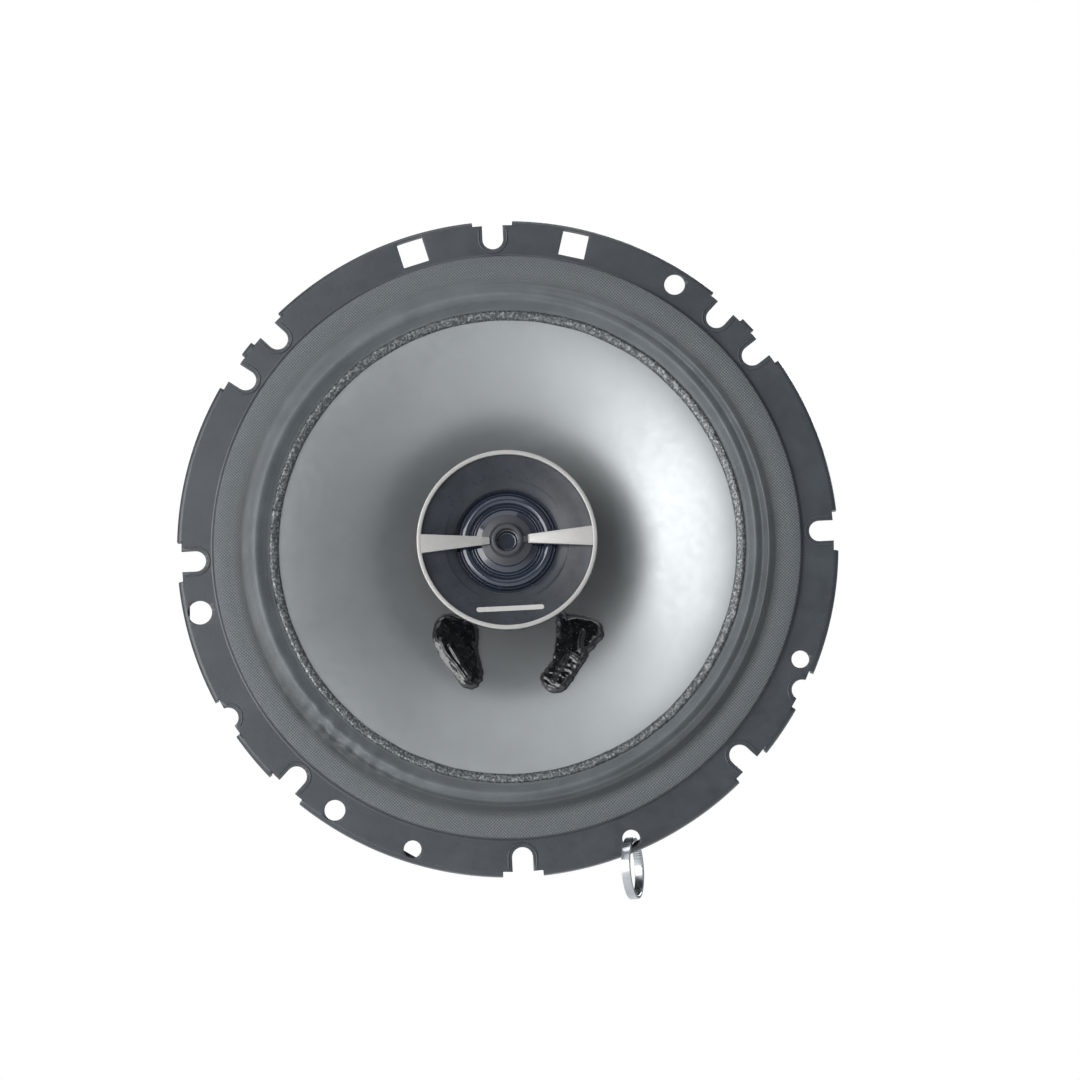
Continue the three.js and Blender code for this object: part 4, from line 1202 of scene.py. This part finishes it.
def pin(name, shank, head, head_height, low, high, x):
    """A rivet through the board, headed on both sides."""
    crown = head * 0.7
    profile = [
        (0, low - head_height),
        (crown, low - head_height),
        (head, low),
        (shank, low),
        (shank, high),
        (head, high),
        (crown, high + head_height),
        (0, high + head_height),
    ]
    return turned(name, eased(profile, 0.3), brass, 32, warp=lambda p: on_board(p + np.array([x, 0, 0])))


line_of_glue = 0.1
rivet = pin("board_rivet_pin", 1.5, 2.7, 0.8, -sheet - 0.3, board_rear + line_of_glue, 0)
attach(rivet, "chassis")
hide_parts("board_rivet")

tab_sheet, tab_length, tab_foot, tab_bend = 0.8, 8.5, 6.5, 0.8
for name, width, x in (("wide", 6.3, -tab_offset), ("narrow", 4.8, tab_offset)):
    low = board_rear + line_of_glue
    bend_middle = tab_foot / 2 - 1.2
    half = width / 2
    line = [(-tab_foot / 2, 0.0), (bend_middle, 0.0)]
    for a in np.linspace(0, math.pi / 2, 8)[1:]:
        line.append((bend_middle + tab_bend * math.sin(a), tab_bend - tab_bend * math.cos(a)))
    line += [(bend_middle + tab_bend, tab_length - tab_sheet * n) for n in (2, 1)]
    verts = []
    for n, (along, up) in enumerate(line):
        narrow = half - (0.9 if n == len(line) - 1 else 0)
        verts += [(x - narrow, along, low + up), (x + narrow, along, low + up)]
    quads = [(2 * n, 2 * n + 1, 2 * n + 3, 2 * n + 2) for n in range(len(line) - 1)]
    tab = piece(f"tab_{name}", on_board(verts), quads, brass, tidy=False)
    thick = tab.modifiers.new("brass", "SOLIDIFY")
    thick.thickness = tab_sheet * MILLI
    thick.offset = -1
    soften = tab.modifiers.new("edges", "BEVEL")
    soften.width = 0.12 * MILLI
    soften.segments = 2
    soften.angle_limit = math.radians(50)
    tab = settle(tab, brass)
    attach(tab, "chassis")
    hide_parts(f"terminal_tab_{name}")
    pin_top = low + tab_sheet + line_of_glue
    holder = pin(f"tab_pin_{name}", 1.1, 2.0, 0.6, board_front - line_of_glue, pin_top, x)
    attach(holder, "chassis")
    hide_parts(f"tab_rivet_{name}")


# ---- Tweeter's post, screw and capacitor --------------------------------------------------------------
# A moulded post stands on the pole and carries the tweeter. One screw comes up through the magnet's bore to
# hold it. The tweeter's capacitor, in a shrunk sleeve, is tucked behind the housing.

plastic = Finish("satin_black_plastic", "black_plastic", roughness=0.38, Coat_Weight=0.15, Coat_Roughness=0.3)
plastic.colour_by(plastic.cloud(0.3, 4), (0.026, 0.029, 0.035), (0.038, 0.042, 0.050))
plastic.roughen(plastic.cloud(0.8, 4), 0.32, 0.46)
plastic.raise_by(plastic.cloud(5, 2), 0.01)

steel = Finish("bright_steel", "bright_steel", roughness=0.24, metallic=1.0)
steel.colour_by(steel.cloud(0.6, 4), (0.44, 0.465, 0.49), (0.56, 0.58, 0.60))
steel.roughen(steel.cloud(1.5, 4, stretch=(1, 6, 1)), 0.14, 0.26)
steel.raise_by(steel.cloud(0.8, 2), 0.01)

sleeve = Finish("shrink_sleeve", "sleeve", roughness=0.3, Coat_Weight=0.4)
sleeve.colour_by(sleeve.cloud(0.4, 3), (0.012, 0.014, 0.022), (0.030, 0.034, 0.050))
sleeve.raise_by(sleeve.cloud(0.8, 3), 0.08)

post_base, post_top = heights_of("tweeter_post")
post_line = [
    (1.9, post_base),
    (9.0, post_base),
    (9.0, post_base + 2.0),
    (5.0, post_base + 6.0),
    (5.0, post_top),
    (0.0, post_top),
    (0.0, post_base + 14.0),
    (1.9, post_base + 14.0),
]
outer = eased(post_line[:5], 0.6, closed=False) + post_line[5:]
post = turned("tweeter_post_moulding", outer, plastic, 96)
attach(post, "chassis")
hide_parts("tweeter_post")

screw_low, screw_high = heights_of("post_screw")
seat = screw_low + 2.2
screw_line = [(0, screw_low), (2.7, screw_low), (3.6, screw_low + 1.2), (3.6, seat), (1.3, seat)]
screw_line = eased(screw_line, 0.3, closed=False)
thread = np.arange(post_base - 2.0, screw_high - 0.8, 0.35)
screw_line += [(1.3 if n % 2 else 1.05, height) for n, height in enumerate(thread)]
screw_line += [(0.5, screw_high), (0, screw_high)]
screw = turned("post_screw_body", screw_line, steel, 40)
cross_long, cross_thin = 1.9, 0.42
for n, (long_x, long_y) in enumerate(((cross_long, cross_thin), (cross_thin, cross_long))):
    corners = []
    for x, y in ((-1, -1), (-1, 1), (1, -1), (1, 1)):
        corners += [(x * long_x, y * long_y, screw_low + depth) for depth in (-1, 1.3)]
    sides = [(0, 1, 3, 2), (4, 5, 7, 6), (0, 1, 5, 4), (2, 3, 7, 6), (0, 2, 6, 4), (1, 3, 7, 5)]
    blade = piece(f"driver_blade_{n}", corners, sides, steel)
    recess = screw.modifiers.new("recess", "BOOLEAN")
    recess.object = blade
    screw = settle(screw, steel)
    bpy.data.objects.remove(blade)
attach(screw, "chassis")
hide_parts("post_screw")

can_low, can_high = (speaker_point(c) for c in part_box("tweeter_capacitor"))
can_centre = np.array((can_low + can_high) / 2)
can_radius, can_half = 3.0, 5.5
can_line = [
    (0, -can_half),
    (2.0, -can_half),
    (2.1, -can_half + 0.2),
    (can_radius, -can_half + 0.2),
    (can_radius, -can_half + 1.2),
    (can_radius - 0.3, -can_half + 1.6),
    (can_radius, -can_half + 2.0),
    (can_radius, can_half - 0.1),
    (2.2, can_half - 0.1),
    (2.1, can_half - 0.3),
    (0, can_half - 0.3),
]
can = turned("capacitor_can", eased(can_line, 0.3), sleeve, 64, warp=lambda p: p[:, [2, 1, 0]] + can_centre)
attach(can, "chassis")
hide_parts("tweeter_capacitor")


# ---- Tweeter's motor ----------------------------------------------------------------------------------
# A plastic cup holds a plated steel pot, a small neodymium magnet and its front disc. The coil, wound on the
# film's edge, hangs in the gap between the disc and the pot.


def drum_piece(node, name, radius, finish):
    """A plain disc as tall as its CAD node."""
    low, high = heights_of(node)
    line = [(0, low), (radius, low), (radius, high), (0, high)]
    thing = turned(name, eased(line, 0.25), finish, 96)
    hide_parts(node)
    return thing


cup_low, cup_high = heights_of("tweeter_housing")
cup_line = [
    (0, cup_low),
    (15.5, cup_low),
    (15.5, cup_high),
    (11.7, cup_high),
    (11.7, cup_low + 1.5),
    (0, cup_low + 1.5),
]
cup = turned("tweeter_cup", eased(cup_line, 0.5), plastic, 128)
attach(cup, "chassis")
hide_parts("tweeter_housing")

pot_low, pot_high = heights_of("tweeter_pot")
pot_line = [
    (0, pot_low),
    (11.4, pot_low),
    (11.4, pot_high),
    (9.6, pot_high),
    (9.6, pot_low + 1.6),
    (0, pot_low + 1.6),
]
pot = turned("steel_pot", eased(pot_line, 0.3), zinc, 128)
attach(pot, "chassis")
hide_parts("tweeter_pot")

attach(drum_piece("tweeter_magnet", "small_magnet", 7.3, steel), "chassis")
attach(drum_piece("tweeter_disc", "pot_disc", 7.9, zinc), "chassis")
coil_low, coil_high = heights_of("tweeter_coil")
turns_line = [(8.35, coil_high), (8.35, coil_low)]
for height in np.arange(coil_low + 0.1, coil_high, 0.2):
    turns_line += [(8.78, height - 0.08), (8.85, height), (8.78, height + 0.08)]
small_coil = turned("small_coil", turns_line, copper, 96)
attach(small_coil, "tweeter_diaphragm")
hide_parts("tweeter_coil")


# ---- Tweeter's film -----------------------------------------------------------------------------------
# The diaphragm is one glossy dark blue polyester film, formed hot: a dimpled middle, two fine rings over
# the coil, a raised half roll, and a flat edge that the dish clamps. The roll flexes with the treble.

film = Finish("glossy_blue_film", "film_blue", roughness=0.10, Coat_Weight=1.0, Coat_Roughness=0.03)
film.colour_by(film.cloud(0.2, 3), (0.010, 0.015, 0.030), (0.020, 0.028, 0.050))
film.roughen(film.cloud(0.7, 3), 0.07, 0.16)
film.raise_by(film.cloud(0.25, 3), 0.08)

film_foot = heights_of("tweeter_roll")[0] + 0.3
film_edge, roll_inner, roll_outer = 13.55, 9.15, 11.75
fine_rings, ring_width = ((8.0, 0.26), (8.6, 0.20), (12.2, 0.34)), 0.11


def film_height(r):
    """Height of the film's front at a radius."""
    middle = np.interp(r, [0, 2.1, 2.7, 3.6, 6.4, 8.9], [0.10, 0.10, 0.62, 0.74, 0.74, 0.0])
    roll_share = np.clip((r - roll_inner) / (roll_outer - roll_inner), 0, 1)
    roll = 1.38 * np.sqrt(np.maximum(1 - (2 * roll_share - 1) ** 2, 0)) ** 0.85
    rings = sum(tall * np.exp(-(((r - at) / ring_width) ** 2)) for at, tall in fine_rings)
    return film_foot + middle + roll + rings


spans = [(0.0, 1.9, 3), (1.9, 6.2, 22), (6.2, 9.0, 34), (9.0, 12.6, 64), (12.6, film_edge, 4)]
film_radii = np.concatenate([np.linspace(a, b, n, endpoint=False) for a, b, n in spans] + [[film_edge]])
film_front = [(r, h) for r, h in zip(film_radii, film_height(film_radii))]
film_back = [(r, h - 0.28) for r, h in film_front[::-1]]
diaphragm = turned("tweeter_film", film_front + film_back, film, 128, 75)
bends_outwards(diaphragm)
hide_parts("tweeter_dome", "tweeter_roll")


# ---- Tweeter's dish -----------------------------------------------------------------------------------
# A moulded dish of satin black plastic clamps the film. It widens in two slopes with a soft step between
# them, and a silver dash is printed on the lower part of it.

dish_plastic = Finish("dish_plastic", "black_plastic", roughness=0.28, Specular_IOR_Level=0.36)
blotches = dish_plastic.spread(dish_plastic.cloud(0.16, 3), 0.3, 0.7)
ground = dish_plastic.mix(blotches, (0.022, 0.026, 0.032), (0.033, 0.038, 0.047))
dash_half, dash_below, dash_width = 0.0078, 0.0171, 0.00062
ends = (dish_plastic.across.maths("ABSOLUTE") - dash_half).maths("MAXIMUM", 0.0)
drop = dish_plastic.up + dash_below
print_mark = (ends * ends + drop * drop).maths("SQRT") < dash_width
dish_plastic.colour_by(print_mark, ground, (0.46, 0.455, 0.44))
dish_plastic.roughen(dish_plastic.cloud(0.5, 4), 0.24, 0.36)
dish_plastic.raise_by(print_mark + dish_plastic.cloud(4, 2) * 0.03, 0.03)

dish_back, dish_front = heights_of("tweeter_bezel")
trim_low, trim_high = heights_of("tweeter_trim")
dish_line = [
    (12.65, film_foot + 0.1),
    (12.65, 12.5),
    (13.1, 13.0),
    (13.7, 13.35),
    (15.2, 13.78),
    (15.6, 14.05),
    (18.5, 14.48),
    (21.2, 14.8),
    (21.2, dish_front),
    (22.5, dish_front),
    (22.5, 12.7),
    (17.5, dish_back),
    (15.8, dish_back),
    (15.8, film_foot + 0.1),
]
dish = turned("tweeter_dish", eased(dish_line, 0.45, 4), dish_plastic, 192)
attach(dish, "chassis")
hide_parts("tweeter_bezel")


# ---- Silver trim and its bars -------------------------------------------------------------------------
# A thin ring of silver-painted plastic finishes the dish. Two tapering bars reach in from it to the plug.
# The left one ends in a long pale slope and the right one in a short steep chamfer.

silver = Finish("silver_paint", "silver_paint", roughness=0.38, metallic=0.35)
silver.colour_by(silver.cloud(0.5, 4), (0.37, 0.362, 0.35), (0.45, 0.442, 0.43))
silver.roughen(silver.cloud(3, 3), 0.3, 0.46)
silver.raise_by(silver.cloud(6, 2), 0.012)

trim_in, trim_out = 21.4, 22.5
trim_line = [(trim_in, trim_low), (trim_out, trim_low), (trim_out, trim_high), (trim_in, trim_high)]
trim = turned("trim_ring", eased(trim_line, 0.3, 4), silver, 192)
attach(trim, "chassis")
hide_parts("tweeter_trim")


def lofted(name, sections, finish):
    """A closed bar through sections (x, half width, bottom, top), each with eased corners."""
    points, faces = [], []
    for x, half, low, high in sections:
        loop = rounded_box(half, (high - low) / 2, 0.16, (0, (high + low) / 2), 3)
        points += [(x, y, height) for y, height in loop]
    size = len(loop)
    for n in range(len(sections) - 1):
        for k in range(size):
            one, two = n * size, (n + 1) * size
            faces.append((one + k, one + (k + 1) % size, two + (k + 1) % size, two + k))
    faces.append(tuple(range(size)))
    faces.append(tuple(range(len(points) - 1, len(points) - size - 1, -1)))
    return piece(name, points, faces, finish, 30)


bar_low = trim_high - 1.1
left_bar = [
    (-21.8, 2.42, bar_low, trim_high - 0.05),
    (-6.35, 1.08, bar_low, trim_high - 0.05),
    (-6.15, 1.04, bar_low, trim_high - 0.12),
    (-4.35, 0.82, bar_low, bar_low + 0.45),
]
right_bar = [
    (21.8, 2.52, bar_low, trim_high - 0.05),
    (5.95, 1.14, bar_low, trim_high - 0.05),
    (5.8, 1.12, bar_low, trim_high - 0.1),
    (5.25, 1.08, bar_low, trim_high - 0.75),
]
for name, sections in (("left", left_bar), ("right", right_bar)):
    bar = lofted(f"trim_bar_{name}", sections, silver)
    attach(bar, "chassis")


# ---- Phase plug ---------------------------------------------------------------------------------------
# A small disc with a raised, open hub is moulded with the bars' undersides and sits over the film's middle.
# A narrow grey link joins it to the right bar.

plug_low, plug_high = heights_of("phase_plug")
plug_line = [
    (2.75, plug_low),
    (6.4, plug_low),
    (6.4, plug_low + 0.5),
    (6.0, plug_low + 0.62),
    (4.5, plug_low + 0.8),
    (3.75, plug_high - 0.05),
    (3.55, plug_high),
    (3.0, plug_high),
    (2.85, plug_high - 0.15),
]
plug = turned("phase_plug_disc", eased(plug_line, 0.12), plastic, 128, 30)
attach(plug, "chassis")
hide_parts("phase_plug")
link = lofted("plug_link", [(3.5, 0.75, 14.4, 15.05), (5.4, 0.75, 14.4, 15.05)], plastic)
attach(link, "chassis")


# ---- Tweeter's leads ----------------------------------------------------------------------------------
# Two fine insulated wires leave the housing and dive into the glue patches, where they meet the coil's
# lead-outs. Their lower ends move with the cone.

for side, housing_x, end in (("left", -6.5, (-11.5, -17.5)), ("right", 6.5, (14.0, -18.5))):
    low, high = (speaker_point(c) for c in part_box(f"tweeter_lead_{side}"))
    lowest, highest = sorted((low.z, high.z))
    way = [
        (housing_x, -8.6, highest),
        (housing_x * 1.1, -10.4, highest - 1.9),
        (end[0] * 0.88, end[1] + 3.6, (highest + lowest) / 2),
        (end[0], end[1], lowest + 0.1),
    ]
    wire = tube(f"fine_lead_{side}", route_of(way, 48), 0.33, sleeve, 12)
    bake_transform(wire)
    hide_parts(f"tweeter_lead_{side}")


# ---- Tag ring -----------------------------------------------------------------------------------------
# A narrow band of bright steel, rolled into a ring and threaded through a hole in the flange, hangs turned
# a little to one side. The inside of its upper part is knurled across.

band_outer, band_inner, band_half = 7.7, 6.8, 1.1
ring_low, ring_high = (speaker_point(c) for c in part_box("tag_ring"))
ring_middle = (ring_low + ring_high) / 2
ring_turn = math.radians(90 - 14)


def hang_ring(points):
    """Knurls the band, turns it and hangs it in its place."""
    angle = np.arctan2(points[:, 1], points[:, 0])
    radius = np.hypot(points[:, 0], points[:, 1])
    from_top = np.abs((angle - math.pi / 2 + math.pi) % (2 * math.pi) - math.pi)
    knurled = np.clip((1.25 - from_top) * 6, 0, 1) * (np.sin(angle * 64) > 0) * 0.16
    radius = np.where(radius < band_inner + 0.2, radius - knurled, radius)
    x, y, across = radius * np.cos(angle), radius * np.sin(angle), points[:, 2]
    turned_x = x * math.cos(ring_turn) + across * math.sin(ring_turn)
    turned_h = -x * math.sin(ring_turn) + across * math.cos(ring_turn)
    return np.column_stack((turned_x, y, turned_h)) + np.array(ring_middle)


band_line = [(band_inner, -band_half), (band_outer, -band_half)]
band_line += [(band_outer, band_half), (band_inner, band_half)]
band = turned("steel_ring", eased(band_line, 0.2, 4), steel, 512, 30, warp=hang_ring)
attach(band, "tag_ring")
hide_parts("tag_ring")


# ---- Light and floor ----------------------------------------------------------------------------------
# A white studio: a broad key light on the left, weaker fill from the right and above, and a pale floor
# well below the speaker.

world = bpy.data.worlds.new("studio")
world.use_nodes = True
bpy.context.scene.world = world
room = Graph(world.node_tree)
sky = world.node_tree.nodes["Background"]
sky.inputs["Color"].default_value = (0.9, 0.95, 1.0, 1)
sky.inputs["Strength"].default_value = 0.30
white = room.add("ShaderNodeBackground", None, {"Color": (1, 1, 1, 1), "Strength": 1.0})
seen = room.add("ShaderNodeLightPath", output="Is Camera Ray")
both = room.add("ShaderNodeMixShader", None, {0: seen, 1: Wire(room, sky, sky.outputs[0]), 2: white})
room.join(world.node_tree.nodes["World Output"].inputs["Surface"], both)
bpy.context.scene.view_settings.view_transform = "Standard"


def lamp(name, place, size, watts):
    """A rectangular lamp that points at the speaker."""
    data = bpy.data.lights.new(name, "AREA")
    data.shape = "RECTANGLE"
    data.size, data.size_y = size
    data.energy = watts
    light = bpy.data.objects.new(name, data)
    bpy.context.scene.collection.objects.link(light)
    light.location = place
    light.rotation_euler = (-Vector(place)).to_track_quat("-Z", "Y").to_euler()


lamp("key", (-0.62, -0.40, 0.02), (0.45, 0.6), 2.8)
lamp("softbox", (-0.60, -1.18, 0.0), (0.74, 1.10), 10.6)
lamp("upper", (-0.15, -0.95, 0.75), (0.8, 0.5), 1.0)
lamp("top", (0.0, -0.2, 1.2), (1.0, 0.6), 4)
lamp("back", (0.6, 1.0, 0.7), (0.8, 0.8), 14)

floor_finish = Finish("floor_paint", "none", roughness=0.7)
floor_finish.colour_by(floor_finish.cloud(0.002), (0.86, 0.86, 0.86), (0.9, 0.9, 0.9))
floor_mesh = bpy.data.meshes.new("floor")
floor_half, floor_height = 4, -0.3
around = ((-1, -1), (1, -1), (1, 1), (-1, 1))
floor_corners = [(floor_half * x, floor_half * y, floor_height) for x, y in around]
floor_mesh.from_pydata(floor_corners, [], [(0, 1, 2, 3)])
floor_mesh.materials.append(floor_finish.material)
floor = bpy.data.objects.new("floor", floor_mesh)
bpy.context.scene.collection.objects.link(floor)
